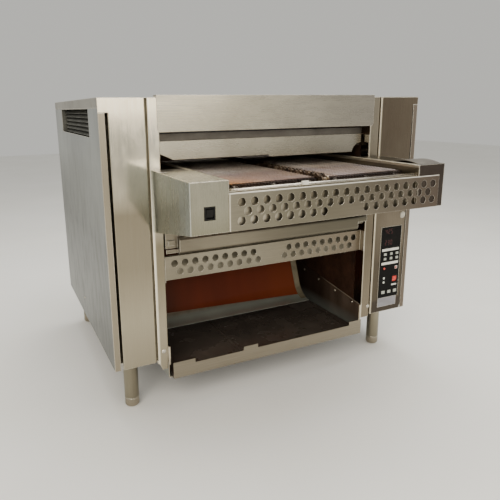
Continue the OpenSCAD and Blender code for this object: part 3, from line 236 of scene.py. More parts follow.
def skirt_steel():
    """The skirts beside the pan: stainless sheet browned by fat, with painted shade towards the rear, paler
    towards the bottom, and painted highlights on the upper edge and front flange.
    """
    material, tree, steel, place = start_material("browned_skirt_steel", Metallic=0.7)
    # Fat stains about 60 mm across, drawn out downwards.
    stain = streaks(tree, place, (16, 16, 7), 4.0)
    split = add(tree, "ShaderNodeSeparateXYZ", {"Vector": place})
    rearwards, upwards = split.outputs["Y"], split.outputs["Z"]
    # The upper edge climbs 0.14 to 1 towards the rear, so this is the same all along it.
    slope = add(tree, "ShaderNodeMath", {0: rearwards, 1: -0.14, 2: upwards},
                operation="MULTIPLY_ADD").outputs[0]
    upper_edge_highlight = overlap(tree, (slope, 0.2215, 0.2235), (rearwards, -0.02, -0.09))
    brown = ramp(tree, stain, [(0.32, "#6D5B4D"), (0.68, "#9C897A")])
    # Painted shade towards the rear, paler towards the bottom, painted highlights on the upper edge and front
    # flange.
    brown = tinted(tree, brown, rearwards, -0.12, 0.02, "#3B271D", 0.8)
    brown = tinted(tree, brown, upwards, 0.150, 0.110, "#ACB3AD", 0.75)
    brown = tinted(tree, brown, upper_edge_highlight, 0.0, 1.0, "#C9BFAB")
    brown = tinted(tree, brown, rearwards, -0.2455, -0.2475, "#C2B8A4")
    set_finish(tree, steel, brown, stain, 0.30, 0.50)
    edge = add(tree, "ShaderNodeBevel", {"Radius": 0.8 * MM}, samples=4)
    tree.links.new(edge.outputs[0], steel.inputs["Normal"])
    return material


def belt_wire():
    """Drawn stainless wire, tinted by the burners: straw, rose and lilac bands that drift over the belt."""
    material, tree, wire, place = start_material("heat_tinted_wire", Metallic=1.0)
    # Tints change over about 380 mm along the belt and 200 mm across it.
    drift = streaks(tree, place, (5.0, 2.6, 3.0), 3.0, 0.55, shift=(0.35, 0.2, 0.0))
    # Specks of fat about 6 mm across.
    speck = add(tree, "ShaderNodeTexNoise", {"Vector": place, "Scale": 160.0, "Detail": 2.0}).outputs["Fac"]
    split = add(tree, "ShaderNodeSeparateXYZ", {"Vector": place})
    across, along = split.outputs["X"], split.outputs["Y"]
    tint = ramp(tree, drift, [(0.30, "#A59A90"), (0.42, "#B09C8E"), (0.50, "#B3A3A0"), (0.60, "#A49DA4"),
                              (0.72, "#C4BDB7")])
    # The front left corner has gone the most orange.
    front_left = overlap(tree, (across, -0.04, -0.26), (along, -0.26, -0.46))
    tint = tinted(tree, tint, front_left, 0.0, 1.0, "#C4946A")
    # Painted shade: the right belt is greyer and darker, on the side away from the light.
    tint = tinted(tree, tint, across, 0.02, 0.20, "#8B8684", 0.5)
    # Painted light: paler towards the hood's edge, against the hood's shadow.
    tint = tinted(tree, tint, along, -0.31, -0.20, "#F4EADF", 0.9)
    # Soot and painted shade in the back, where the belts run through the flames; painted shade over the front
    # wheels.
    tint = tinted(tree, tint, along, -0.09, 0.06, "#3A3230", 0.75)
    tint = tinted(tree, tint, along, -0.451, -0.459, "#1A1411", 0.95)
    tint = tinted(tree, tint, speck, 0.5, 0.75, "#5A4A42", 0.45)
    set_finish(tree, wire, tint, speck, 0.30, 0.48)
    return material


def chain_steel():
    """Roller chain steel, oil-blackened and then browned by the heat, bright where the plates rub."""
    material, tree, steel, place = start_material("browned_chain_steel", Metallic=0.9)
    # Rubbed patches are about as long as one link, 19 mm.
    rub = add(tree, "ShaderNodeTexNoise", {"Vector": place, "Scale": 52.0, "Detail": 4.0}).outputs["Fac"]
    colour = ramp(tree, rub, [(0.35, "#2E2620"), (0.55, "#5A4A3C"), (0.72, "#A1937E")])
    set_finish(tree, steel, colour, rub, 0.55, 0.32, end=0.75)
    edge = add(tree, "ShaderNodeBevel", {"Radius": 0.5 * MM}, samples=3)
    tree.links.new(edge.outputs[0], steel.inputs["Normal"])
    return material


def release_film():
    """Heat-proof non-stick film over glass cloth, red-brown, with a greasy shine and faint runs down it."""
    material, tree, film, place = start_material("release_film", Metallic=0.0, IOR=1.38,
                                                 Specular_IOR_Level=0.08)
    # Runs about 80 mm wide and 330 mm long.
    runs = streaks(tree, place, (12, 5, 3), 2.0)
    # Painted light and shade: darker towards the left and the top, lighter and redder towards the right.
    red = shaded(tree, place, ramp(tree, runs, [(0.30, "#552414"), (0.70, "#632B18")]),
                 [("X", 20, 220, "#69321D"), ("X", -150, -353, "#3D261D"), ("Z", 250, 480, "#2B160F")])
    set_finish(tree, film, red, runs, 0.40, 0.50)
    # Weave of the glass cloth, 1.2 mm threads drawn 2.4 mm apart so that they show.
    weave = add(tree, "ShaderNodeTexWave", {"Vector": place, "Scale": 130.0, "Distortion": 0.4},
                bands_direction="X").outputs["Fac"]
    relief = add(tree, "ShaderNodeBump", {"Height": weave, "Strength": 0.06, "Distance": 0.0003})
    tree.links.new(relief.outputs[0], film.inputs["Normal"])
    return material


def greased_pan():
    """The pan is one stainless pressing: its front lip is wiped clean, its floor is black with baked fat."""
    material, tree, steel, place = start_material("baked_pan_steel")
    split = add(tree, "ShaderNodeSeparateXYZ", {"Vector": place})
    lip_back = -0.2628
    inside = add(tree, "ShaderNodeMath", {0: split.outputs["Y"], 1: lip_back},
                 operation="GREATER_THAN").outputs[0]
    bare = add(tree, "ShaderNodeMapRange", {"Value": inside, "To Min": 1.0, "To Max": 0.0})
    tree.links.new(bare.outputs["Result"], steel.inputs["Metallic"])
    # Pools of fat about 140 mm across, and the same grain as the other brushed sheets on the lip.
    pools = add(tree, "ShaderNodeTexNoise", {"Vector": place, "Scale": 7.0, "Detail": 5.0,
                                             "Roughness": 0.6}).outputs["Fac"]
    lines = streaks(tree, place, (9, 700, 700), 2.0)
    clean = ramp(tree, lines, [(0.3, "#857D6E"), (0.7, "#958D7E")])
    baked = ramp(tree, pools, [(0.30, "#39332F"), (0.60, "#4A433D"), (0.80, "#6B635C")])
    colour = add(tree, "ShaderNodeMix", {0: inside, 6: clean, 7: baked}, data_type="RGBA")
    tree.links.new(colour.outputs[2], steel.inputs["Base Color"])
    lip_gloss, floor_gloss = [
        add(tree, "ShaderNodeMapRange", {"Value": pattern, "From Min": 0.3, "From Max": 0.7,
                                         "To Min": smooth, "To Max": dull}).outputs["Result"]
        for pattern, smooth, dull in ((lines, 0.30, 0.44), (pools, 0.16, 0.34))]
    gloss = add(tree, "ShaderNodeMix", {0: inside, 2: lip_gloss, 3: floor_gloss})
    tree.links.new(gloss.outputs[0], steel.inputs["Roughness"])
    edge = add(tree, "ShaderNodeBevel", {"Radius": 0.9 * MM}, samples=4)
    relief = add(tree, "ShaderNodeBump", {"Height": pools, "Strength": 0.15, "Distance": 0.002,
                                          "Normal": edge.outputs[0]})
    tree.links.new(relief.outputs[0], steel.inputs["Normal"])
    return material


def moulded_plastic(name, colour, deep, rough, grain_mm=0.8, depth=0.05, shine=0.5):
    """Injection-moulded plastic: even colour, fine spark-eroded grain, slightly duller where touched."""
    material, tree, plastic, place = start_material(name, Metallic=0.0, IOR=1.46, Specular_IOR_Level=shine)
    grain = add(tree, "ShaderNodeTexNoise", {"Vector": place, "Scale": 1000 / grain_mm,
                                             "Detail": 2.0}).outputs["Fac"]
    # Touched places about 17 mm across, a fingertip's width.
    touch = add(tree, "ShaderNodeTexNoise", {"Vector": place, "Scale": 60.0, "Detail": 3.0}).outputs["Fac"]
    mixed = ramp(tree, touch, [(0.35, deep), (0.65, colour)])
    set_finish(tree, plastic, mixed, touch, rough - 0.05, rough + 0.07)
    relief = add(tree, "ShaderNodeBump", {"Height": grain, "Strength": depth, "Distance": 0.0002})
    tree.links.new(relief.outputs[0], plastic.inputs["Normal"])
    return material


def turned_steel():
    """Turned shaft steel: fine rings round X, dull with grease."""
    material, tree, steel, place = start_material("turned_steel", Metallic=1.0)
    # Tool marks about 1.1 mm apart.
    rings = streaks(tree, place, (900, 12, 12), 2.0)
    set_finish(tree, steel, ramp(tree, rings, [(0.3, "#6B645B"), (0.7, "#9A9288")]), rings, 0.34, 0.5)
    return material


def plated_steel():
    """Zinc or nickel plated fasteners: bright, with a faint cloud."""
    material, tree, steel, place = start_material("plated_steel", Metallic=1.0)
    # Clouds about 11 mm across.
    haze = add(tree, "ShaderNodeTexNoise", {"Vector": place, "Scale": 90.0, "Detail": 3.0}).outputs["Fac"]
    set_finish(tree, steel, ramp(tree, haze, [(0.3, "#ABA69A"), (0.7, "#D6D0C3")]), haze, 0.22, 0.4)
    return material


def raw_brass():
    """Cast and machined brass of the gas valve, gone dull."""
    material, tree, brass, place = start_material("dull_brass", Metallic=1.0)
    # Dull places about 14 mm across.
    haze = add(tree, "ShaderNodeTexNoise", {"Vector": place, "Scale": 70.0, "Detail": 3.0}).outputs["Fac"]
    set_finish(tree, brass, ramp(tree, haze, [(0.3, "#7C6134"), (0.7, "#A98A4E")]), haze, 0.34, 0.55)
    return material


def painted_steel(name, colour, deep, rough=0.45):
    """Sprayed enamel on steel: a slight orange peel and dust in it."""
    material, tree, paint, place = start_material(name, Metallic=0.0, IOR=1.5)
    # Dust in patches about 40 mm across, orange peel about 1.7 mm across.
    dust = add(tree, "ShaderNodeTexNoise", {"Vector": place, "Scale": 24.0, "Detail": 4.0}).outputs["Fac"]
    peel = add(tree, "ShaderNodeTexNoise", {"Vector": place, "Scale": 600.0, "Detail": 1.0}).outputs["Fac"]
    set_finish(tree, paint, ramp(tree, dust, [(0.35, deep), (0.65, colour)]), dust, rough + 0.1, rough - 0.08)
    relief = add(tree, "ShaderNodeBump", {"Height": peel, "Strength": 0.08, "Distance": 0.0003})
    tree.links.new(relief.outputs[0], paint.inputs["Normal"])
    return material


def smoked_display():
    """Smoked acrylic over the digits, nearly black and glossy."""
    material, tree, acrylic, place = start_material("smoked_acrylic", Metallic=0.0, IOR=1.49,
                                                    Specular_IOR_Level=0.08)
    # Wipe marks about 22 mm across.
    haze = add(tree, "ShaderNodeTexNoise", {"Vector": place, "Scale": 45.0, "Detail": 3.0}).outputs["Fac"]
    set_finish(tree, acrylic, ramp(tree, haze, [(0.3, "#0B0A0A"), (0.7, "#171413")]), haze, 0.10, 0.22)
    return material


def lamp_plastic(name, colour, deep, glow, shades=()):
    """Clear tinted lens with a lamp behind it."""
    material, tree, lens, place = start_material(name, Metallic=0.0, IOR=1.49, Emission_Strength=glow)
    # Facets of the lens about 2 mm across.
    facet = add(tree, "ShaderNodeTexNoise", {"Vector": place, "Scale": 500.0, "Detail": 1.0}).outputs["Fac"]
    tint = shaded(tree, place, ramp(tree, facet, [(0.3, deep), (0.7, colour)]), shades)
    set_finish(tree, lens, tint, facet, 0.15, 0.3)
    tree.links.new(tint, lens.inputs["Emission Color"])
    return material


def pale_floor():
    """A plain pale studio floor."""
    material, tree, paint, place = start_material("pale_floor_paint", Metallic=0.0, IOR=1.45)
    # Mottle about 500 mm across.
    mottle = add(tree, "ShaderNodeTexNoise", {"Vector": place, "Scale": 2.0, "Detail": 2.0}).outputs["Fac"]
    set_finish(tree, paint, ramp(tree, mottle, [(0.3, "#EDECE8"), (0.7, "#F1F0ED")]), mottle, 0.8, 0.9)
    return material


# Piece helpers

def finished(name, mesh_data, material, body, smooth=False, bevel=0.0):
    """Turns a bmesh into a piece that rides on a body."""
    bmesh.ops.recalc_face_normals(mesh_data, faces=mesh_data.faces)
    mesh = bpy.data.meshes.new(name)
    mesh_data.to_mesh(mesh)
    mesh_data.free()
    mesh.materials.append(material)
    piece = bpy.data.objects.new(name, mesh)
    bpy.context.scene.collection.objects.link(piece)
    if bevel:
        edge = piece.modifiers.new("soft_edges", "BEVEL")
        edge.width, edge.segments = bevel, 2
        edge.limit_method, edge.angle_limit = "ANGLE", math.radians(40)
    if smooth:
        mesh.polygons.foreach_set("use_smooth", [True] * len(mesh.polygons))
    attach(piece, body)
    return piece


def bar(mesh_data, low, high):
    """A block between two corners, in millimetres."""
    low, high = Vector(low) * MM, Vector(high) * MM
    made = bmesh.ops.create_cube(mesh_data, size=1.0)
    bmesh.ops.scale(mesh_data, vec=high - low, verts=made["verts"])
    bmesh.ops.translate(mesh_data, vec=(low + high) / 2, verts=made["verts"])
    return made["verts"]


def lathe(mesh_data, profile, place, steps=20):
    """A profile of (radius, height) pairs in millimetres, spun round Z and then put in place."""
    start = [mesh_data.verts.new((radius * MM, 0, height * MM)) for radius, height in profile]
    edges = [mesh_data.edges.new(pair) for pair in zip(start, start[1:])]
    made = bmesh.ops.spin(mesh_data, geom=start + edges, cent=(0, 0, 0), axis=(0, 0, 1), dvec=(0, 0, 0),
                          angle=2 * math.pi, steps=steps, use_merge=True)
    verts = {part for part in made["geom_last"] if isinstance(part, bmesh.types.BMVert)} | set(start)
    faces = {f for v in verts if v.is_valid for f in v.link_faces}
    grown = set(faces)
    while faces:
        faces = {g for f in faces for e in f.edges for g in e.link_faces} - grown
        grown |= faces
    verts = list({v for f in grown for v in f.verts})
    bmesh.ops.remove_doubles(mesh_data, verts=verts, dist=1e-7)
    bmesh.ops.transform(mesh_data, matrix=place, verts=[v for v in verts if v.is_valid])


def facing(point, direction):
    """The placing matrix that turns Z to a direction at a point, in millimetres."""
    turn = Vector(direction).to_track_quat("Z", "Y").to_matrix().to_4x4()
    return Matrix.Translation(Vector(point) * MM) @ turn


# Belts and release sheet

def wire_belt(name, node, material):
    """Balanced-weave wire belt: a flattened spiral of wire between each two cross rods, round both wheels."""
    low_corner, high_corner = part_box(node)
    side_gap, end_gap = 1, 2
    x0, x1 = low_corner.x / MM + side_gap, high_corner.x / MM - side_gap
    rod_radius, rod_pitch, thick, pitch_radius = 1.7, 12.7, 6.0, 36.802
    axle_height = (low_corner.z + high_corner.z) / 2 / MM
    front_axle = low_corner.y / MM + pitch_radius + thick / 2
    rear_axle = high_corner.y / MM - pitch_radius - thick / 2
    run, half_turn = rear_axle - front_axle, math.pi * pitch_radius
    length = 2 * (run + half_turn)
    count = round(length / rod_pitch)

    def at(distance):
        """Point (y, z) on the loop, counted from above the front axle rearwards."""
        distance %= length
        if distance < run:
            return front_axle + distance, axle_height + pitch_radius
        if distance < run + half_turn:
            angle = (distance - run) / pitch_radius
            return rear_axle + pitch_radius * math.sin(angle), axle_height + pitch_radius * math.cos(angle)
        if distance < 2 * run + half_turn:
            return rear_axle - (distance - run - half_turn), axle_height - pitch_radius
        angle = (distance - 2 * run - half_turn) / pitch_radius
        return front_axle - pitch_radius * math.sin(angle), axle_height - pitch_radius * math.cos(angle)

    # One spiral: 8.6 mm a turn along the rod, wrapped round this rod and the next. A turn has six straight
    # steps, which fall short of its height, so that is raised by an eighth.
    pitch, turn_width, wire, steps, rise = length / count, 8.6, 0.85, 6, 1.12
    half_width = pitch / 2 + rod_radius + wire * 0.4
    turns = int((x1 - x0 - 2 * end_gap) / turn_width)
    path = bpy.data.curves.new(name + "_path", "CURVE")
    path.dimensions, path.bevel_depth, path.bevel_resolution = "3D", wire * MM, 0
    path.resolution_u, path.use_fill_caps = 1, True
    line = path.splines.new("POLY")
    line.points.add(turns * steps)
    for i in range(turns * steps + 1):
        angle = 2 * math.pi * i / steps
        line.points[i].co = ((x0 + end_gap + turn_width * i / steps) * MM,
                             (pitch / 2 + half_width * math.cos(angle)) * MM,
                             (thick / 2 - wire) * math.sin(angle) * MM * rise, 1)
    curve = bpy.data.objects.new(name + "_path", path)
    bpy.context.scene.collection.objects.link(curve)
    spiral = bpy.data.meshes.new_from_object(curve.evaluated_get(bpy.context.evaluated_depsgraph_get()))
    bpy.data.objects.remove(curve)

    belt = bmesh.new()
    for i in range(count):
        y, z = at(i * pitch)
        next_y, next_z = at((i + 1) * pitch)
        chord = math.atan2(next_z - z, next_y - y)
        old = set(belt.verts)
        belt.from_mesh(spiral)
        fresh = [v for v in belt.verts if v not in old]
        place = Matrix.Translation((0, y * MM, z * MM)) @ Matrix.Rotation(chord, 4, "X")
        bmesh.ops.transform(belt, matrix=place, verts=fresh)
        rod = bmesh.ops.create_cone(belt, cap_ends=True, segments=8, radius1=rod_radius * MM,
                                    radius2=rod_radius * MM, depth=(x1 - x0 + 2 * side_gap) * MM)
        middle = Matrix.Translation(((x0 + x1) / 2 * MM, y * MM, z * MM))
        bmesh.ops.transform(belt, matrix=middle @ Matrix.Rotation(math.pi / 2, 4, "Y"), verts=rod["verts"])
    bpy.data.meshes.remove(spiral)
    piece = finished(name, belt, material, "cabinet", smooth=True)
    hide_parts(node)


def release_cloth(node, material):
    """The coated glass cloth laid on the chute: 1 mm thick, flat at the clamp on its right edge and with the
    faint waves of a cloth that has lain in the heat further left. It lies in the CAD sheet's own place."""
    cut_spacing, loose_width, wave_height = 16 * MM, 90 * MM, 0.9
    sheet = bmesh.new()
    sheet.from_mesh(cad[node].data)
    bmesh.ops.remove_doubles(sheet, verts=sheet.verts, dist=0.01 * MM)
    low_corner, high_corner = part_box(node)
    for axis in (0, 2):
        normal = Vector((axis == 0, 0, axis == 2))
        span = high_corner[axis] - low_corner[axis]
        cuts = round(span / cut_spacing)
        for cut in range(1, cuts):
            at = low_corner[axis] + span * cut / cuts
            bmesh.ops.bisect_plane(sheet, geom=sheet.verts[:] + sheet.edges[:] + sheet.faces[:], dist=1e-6,
                                   plane_co=normal * at, plane_no=normal)
    # Waves stand off the chute, at right angles to it, by up to twice the wave height.
    off_chute = Vector((0, -0.92, 0.38))
    for vert in sheet.verts:
        loose = min(1.0, (high_corner.x - vert.co.x) / loose_width)
        wave = noise.noise(Vector((vert.co.x * 6.5, vert.co.z * 3.5, 0.4)))
        vert.co += off_chute * loose * (wave_height + wave_height * wave) * MM
    piece = finished("release_cloth", sheet, material, "cabinet", smooth=True)
    piece.data.set_sharp_from_angle(angle=math.radians(35))
    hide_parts(node)


# Screws, beads and control panel

def round_screws(name, places, material, radius=4.6, height=2.4):
    """Pan-head screws with a cross recess, each at a point on a sheet and facing away from it."""
    heads = bmesh.new()
    for point, direction in places:
        put = facing(point, direction)
        lathe(heads, [(0.01, height), (radius * 0.45, height * 0.96), (radius * 0.8, height * 0.7),
                      (radius, height * 0.25), (radius, 0), (0.01, 0)], put, 18)
        for turn in (0, math.pi / 2):
            recess = bar(heads, (-radius * 0.5, -0.35, height * 0.93), (radius * 0.5, 0.35, height * 1.02))
            bmesh.ops.transform(heads, matrix=put @ Matrix.Rotation(turn + 0.4, 4, "Z"), verts=recess)
    finished(name, heads, material, "cabinet")


# Each segment's column and row in a digit, and whether it lies flat
SEGMENTS = {"a": (0, 2, True), "b": (1, 1, False), "c": (1, 0, False), "d": (0, 0, True), "e": (0, 0, False),
            "f": (0, 1, False), "g": (0, 1, True)}
DIGITS = {"0": "abcdef", "1": "bc", "2": "abged", "3": "abgcd", "4": "fgbc", "5": "afgcd", "6": "afgedc",
          "7": "abc", "8": "abcdefg", "9": "abcdfg"}


def display_digits(name, rows, face_y, material):
    """Seven-segment digits standing a hair off the display's face; every row is (text, x, z, height)."""
    proud = 0.25
    digits = bmesh.new()
    for text, left, bottom, tall in rows:
        wide, thick = tall * 0.52, tall * 0.12
        for place, sign in enumerate(text):
            start = left + place * wide * 1.45
            for segment in DIGITS[sign]:
                column, row, flat = SEGMENTS[segment]
                x, z = start + column * (wide - thick), bottom + row * tall / 2
                if flat:
                    x0, x1, z0, z1 = x + thick, x + wide - thick, z - thick / 2, z + thick / 2
                else:
                    x0, x1, z0, z1 = x, x + thick, z + thick * 0.7, z + tall / 2 - thick * 0.7
                bar(digits, (x0, face_y - proud, z0), (x1, face_y, z1))
    finished(name, digits, material, "cabinet")


def control_trim(materials):
    """What the overlay carries: digits, two white strips, a square round one lamp and a mark under the red
    switch, with the blank plate below it and the frame round its other sides."""
    low_corner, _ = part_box("control_overlay")
    left, face, bottom = low_corner / MM
    digit_height = 15
    rows = [("425", left + 16, bottom + 222, digit_height), ("230", left + 16, bottom + 184, digit_height)]
    display_digits("display_digits", rows, face, materials["digit_red"])
    # Places here are (x0, x1, z0, z1) from the overlay's lower left corner.
    strips = bmesh.new()
    for x0, x1, z0, z1 in ((6, 78, 115.3, 123.7), (6, 78, 162.3, 170.7), (66, 76, 96, 106), (55, 77, 38, 43)):
        bar(strips, (left + x0, face - 0.4, bottom + z0), (left + x1, face, bottom + z1))
    finished("label_strips", strips, materials["white_film"], "cabinet", bevel=0.15 * MM)
    plate = bmesh.new()
    bar(plate, (left - 1, face + 0.4, bottom - 33), (left + 79, face + 1.2, bottom - 1))
    finished("blank_plate", plate, materials["plate_aluminium"], "cabinet", bevel=0.25 * MM)
    seals = bmesh.new()
    for x0, x1, z0, z1 in ((-2.2, 0, -1, 246), (84, 86.2, -1, 246), (-2.2, 86.2, 244, 246.2)):
        bar(seals, (left + x0, face + 0.3, bottom + z0), (left + x1, face + 1.2, bottom + z1))
    finished("overlay_frame", seals, materials["right_steel"], "cabinet", bevel=0.2 * MM)


def weld_beads(material):
    """Ground weld beads up the outer front corner of each conveyor box, on its inside."""
    bead_radius, bead_step, bead_count = 1.6, 4.2, 26
    inset, set_back, lowest = 2.3, 2.9, 570
    beads = bmesh.new()
    for node, side in (("conveyor_left_box", 1), ("conveyor_right_box", -1)):
        low_corner, high_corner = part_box(node)
        outer = Vector((low_corner.x if side > 0 else high_corner.x, low_corner.y, 0))
        for i in range(bead_count):
            bump = bmesh.ops.create_uvsphere(beads, u_segments=8, v_segments=5, radius=bead_radius * MM)
            centre = Vector((outer.x / MM + side * inset, outer.y / MM + set_back, lowest + i * bead_step))
            bmesh.ops.translate(beads, vec=centre * MM, verts=bump["verts"])
    finished("corner_welds", beads, material, "cabinet", smooth=True)


def latch_washer(material):
    """The washer behind the control cover's latch."""
    low_corner, high_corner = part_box("panel_latch")
    centre = (low_corner + high_corner) / 2 / MM
    inner, outer, thick = 9.0, 11.2, 0.9
    washer = bmesh.new()
    lathe(washer, [(inner, 0.0), (outer, 0.0), (outer, thick), (inner, thick), (inner, 0.0)],
          facing((centre.x, FRONT, centre.z), (0, -1, 0)), 28)
    finished("latch_washer", washer, material, "cabinet")


# Sheet metal and trim

def box_rear_plates(material):
    """The rear strips of both boxes' tops, which run on to the cabinet's front."""
    plates = bmesh.new()
    for node, front in (("conveyor_left_box", -311.2), ("conveyor_right_box", -397.0)):
        low_corner, high_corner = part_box(node)
        left, right, top = low_corner.x / MM, high_corner.x / MM, high_corner.z / MM
        bar(plates, (left + 1.5, front, top - 1.7), (right - 1.5, FRONT - 1.6, top - 0.2))
    finished("box_rear_plates", plates, material, "cabinet", bevel=0.2 * MM)


def hood_ends(material):
    """The folded-in ends of the hood's cap."""
    low_corner, high_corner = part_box("hood_panel")
    left, right, top = low_corner.x / MM, high_corner.x / MM, high_corner.z / MM
    gauge = 1.2
    ends = bmesh.new()
    for x in (left, right - gauge):
        bar(ends, (x, FRONT - 0.5, top - 7.5), (x + gauge, FRONT + 23.5, top - 0.4))
    finished("hood_ends", ends, material, "cabinet", bevel=0.2 * MM)


def jamb_highlight_plate(material):
    """A pale plate on the right post's polished inner face beside the baffle, its colour a painted reflection
    of the baffle's round relief.
    """
    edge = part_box("entry_baffle")[1].x / MM
    gap, gauge, low, high = 0.1, 1.0, 682.5, 746.5
    face = bmesh.new()
    bar(face, (edge - gap - gauge, FRONT + 1.6, low), (edge - gap, FRONT + 39, high))
    finished("jamb_highlight_plate", face, material, "cabinet", bevel=0.15 * MM)


def bottom_sheet(material):
    """The sheet that closes the cabinet's bottom behind the discharge pan, between the inner walls, with a
    front flange that hangs down behind the pan's rear edge."""
    gap, clearance, gauge, seam = 0.2, 1.0, 1.2, 0.1
    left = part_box("left_inner_wall")[1].x / MM + gap
    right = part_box("right_inner_wall")[0].x / MM - gap
    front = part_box("cavity_skirts")[1].y / MM + clearance
    flange_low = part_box("discharge_pan")[0].z / MM + clearance
    rear_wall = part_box("inner_rear_wall")[0] / MM
    rear, underside = rear_wall.y - gap, rear_wall.z + gap
    sheet = bmesh.new()
    bar(sheet, (left, front, underside), (right, rear, underside + gauge))
    bar(sheet, (left, front, flange_low), (right, front + gauge, underside - seam))
    finished("bottom_sheet", sheet, material, "cabinet", bevel=0.3 * MM)


def baffle_upstand(material):
    """The baffle's low upturned rear edge, which shows through the slot under the hood."""
    low_corner, high_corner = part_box("entry_baffle")
    left, right = low_corner.x / MM + 1, high_corner.x / MM - 1
    rear, top = high_corner.y / MM, high_corner.z / MM
    gauge, rise = 1.2, 19
    edge = bmesh.new()
    bar(edge, (left, rear - gauge, top - 0.5), (right, rear, top + rise))
    finished("baffle_upstand", edge, material, "cabinet", bevel=0.3 * MM)


def rim_bead(material):
    """The bead rolled along the front cross rail's upper edge, from one conveyor box to the other."""
    left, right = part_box("conveyor_left_box")[1].x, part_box("conveyor_right_box")[0].x
    radius, y, z = 2.6 * MM, -501.4 * MM, 657.2 * MM
    bead = bmesh.new()
    made = bmesh.ops.create_cone(bead, cap_ends=True, segments=20, radius1=radius, radius2=radius,
                                 depth=right - left)
    place = Matrix.Translation(((left + right) / 2, y, z)) @ Matrix.Rotation(math.pi / 2, 4, "Y")
    bmesh.ops.transform(bead, matrix=place, verts=made["verts"])
    finished("rim_bead", bead, material, "cabinet", smooth=True)


def seam_shade_strips(material):
    """Dull strips a few millimetres down in the seams between the covers and the channel posts, which they
    lap on both sides; their colour is the seams' painted shade."""
    seams = (("left_front_cover", "left_channel"), ("right_channel", "right_front_cover"))
    lap, sunk, gauge, low, high = 0.5, 7.5, 1.5, 152, 856
    strips = bmesh.new()
    for left_node, right_node in seams:
        left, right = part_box(left_node)[1].x / MM - lap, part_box(right_node)[0].x / MM + lap
        bar(strips, (left, FRONT + sunk, low), (right, FRONT + sunk + gauge, high))
    finished("seam_shade_strips", strips, material, "cabinet")


def guide_block(material):
    """The small white nylon block clipped on the front cross rail."""
    left, front, low = -98, -508, 655
    width, depth, height = 18, 6.5, 9
    block = bmesh.new()
    bar(block, (left, front, low), (left + width, front + depth, low + height))
    finished("guide_block", block, material, "cabinet", bevel=0.8 * MM)


# Studio

# Each lamp's name, place, target, width and height in metres, power in watts and colour
SOFT_BOXES = (
    ("key_box", (-2.2, -2.6, 2.6), (-0.1, -0.2, 0.5), (2.2, 2.2), 95, "#FFF6E6"),
    ("top_box", (0.4, 0.2, 3.0), (0.0, 0.0, 0.4), (2.6, 2.6), 90, "#FFFDF6"),
    ("front_box", (0.3, -4.6, 1.6), (0.1, -0.2, 0.8), (3.2, 1.7), 56, "#FFF9EE"),
    ("fill_box", (2.6, -1.4, 1.2), (0.2, -0.2, 0.5), (1.6, 1.6), 10, "#F2EFE8"))


def studio():
    """Pale floor, a grey-white room and four soft boxes."""
    floor = bmesh.new()
    bmesh.ops.create_grid(floor, x_segments=1, y_segments=1, size=9.0)
    mesh = bpy.data.meshes.new("studio_floor")
    floor.to_mesh(mesh)
    floor.free()
    mesh.materials.append(pale_floor())
    ground = bpy.data.objects.new("studio_floor", mesh)
    bpy.context.scene.collection.objects.link(ground)
    world = bpy.data.worlds.new("studio_room")
    bpy.context.scene.world = world
    world.use_nodes = True
    background = world.node_tree.nodes["Background"]
    background.inputs["Color"].default_value = linear("#DAD9D3")
    background.inputs["Strength"].default_value = 0.85
    for name, place, target, (width, height), power, colour in SOFT_BOXES:
        data = bpy.data.lights.new(name, "AREA")
        data.shape, data.size, data.size_y = "RECTANGLE", width, height
        data.energy, data.color = power, linear(colour)[:3]
        lamp = bpy.data.objects.new(name, data)
        lamp.location = place
        lamp.rotation_euler = (Vector(target) - Vector(place)).to_track_quat("-Z", "Y").to_euler()
        bpy.context.scene.collection.objects.link(lamp)


# The machine

set_camera()
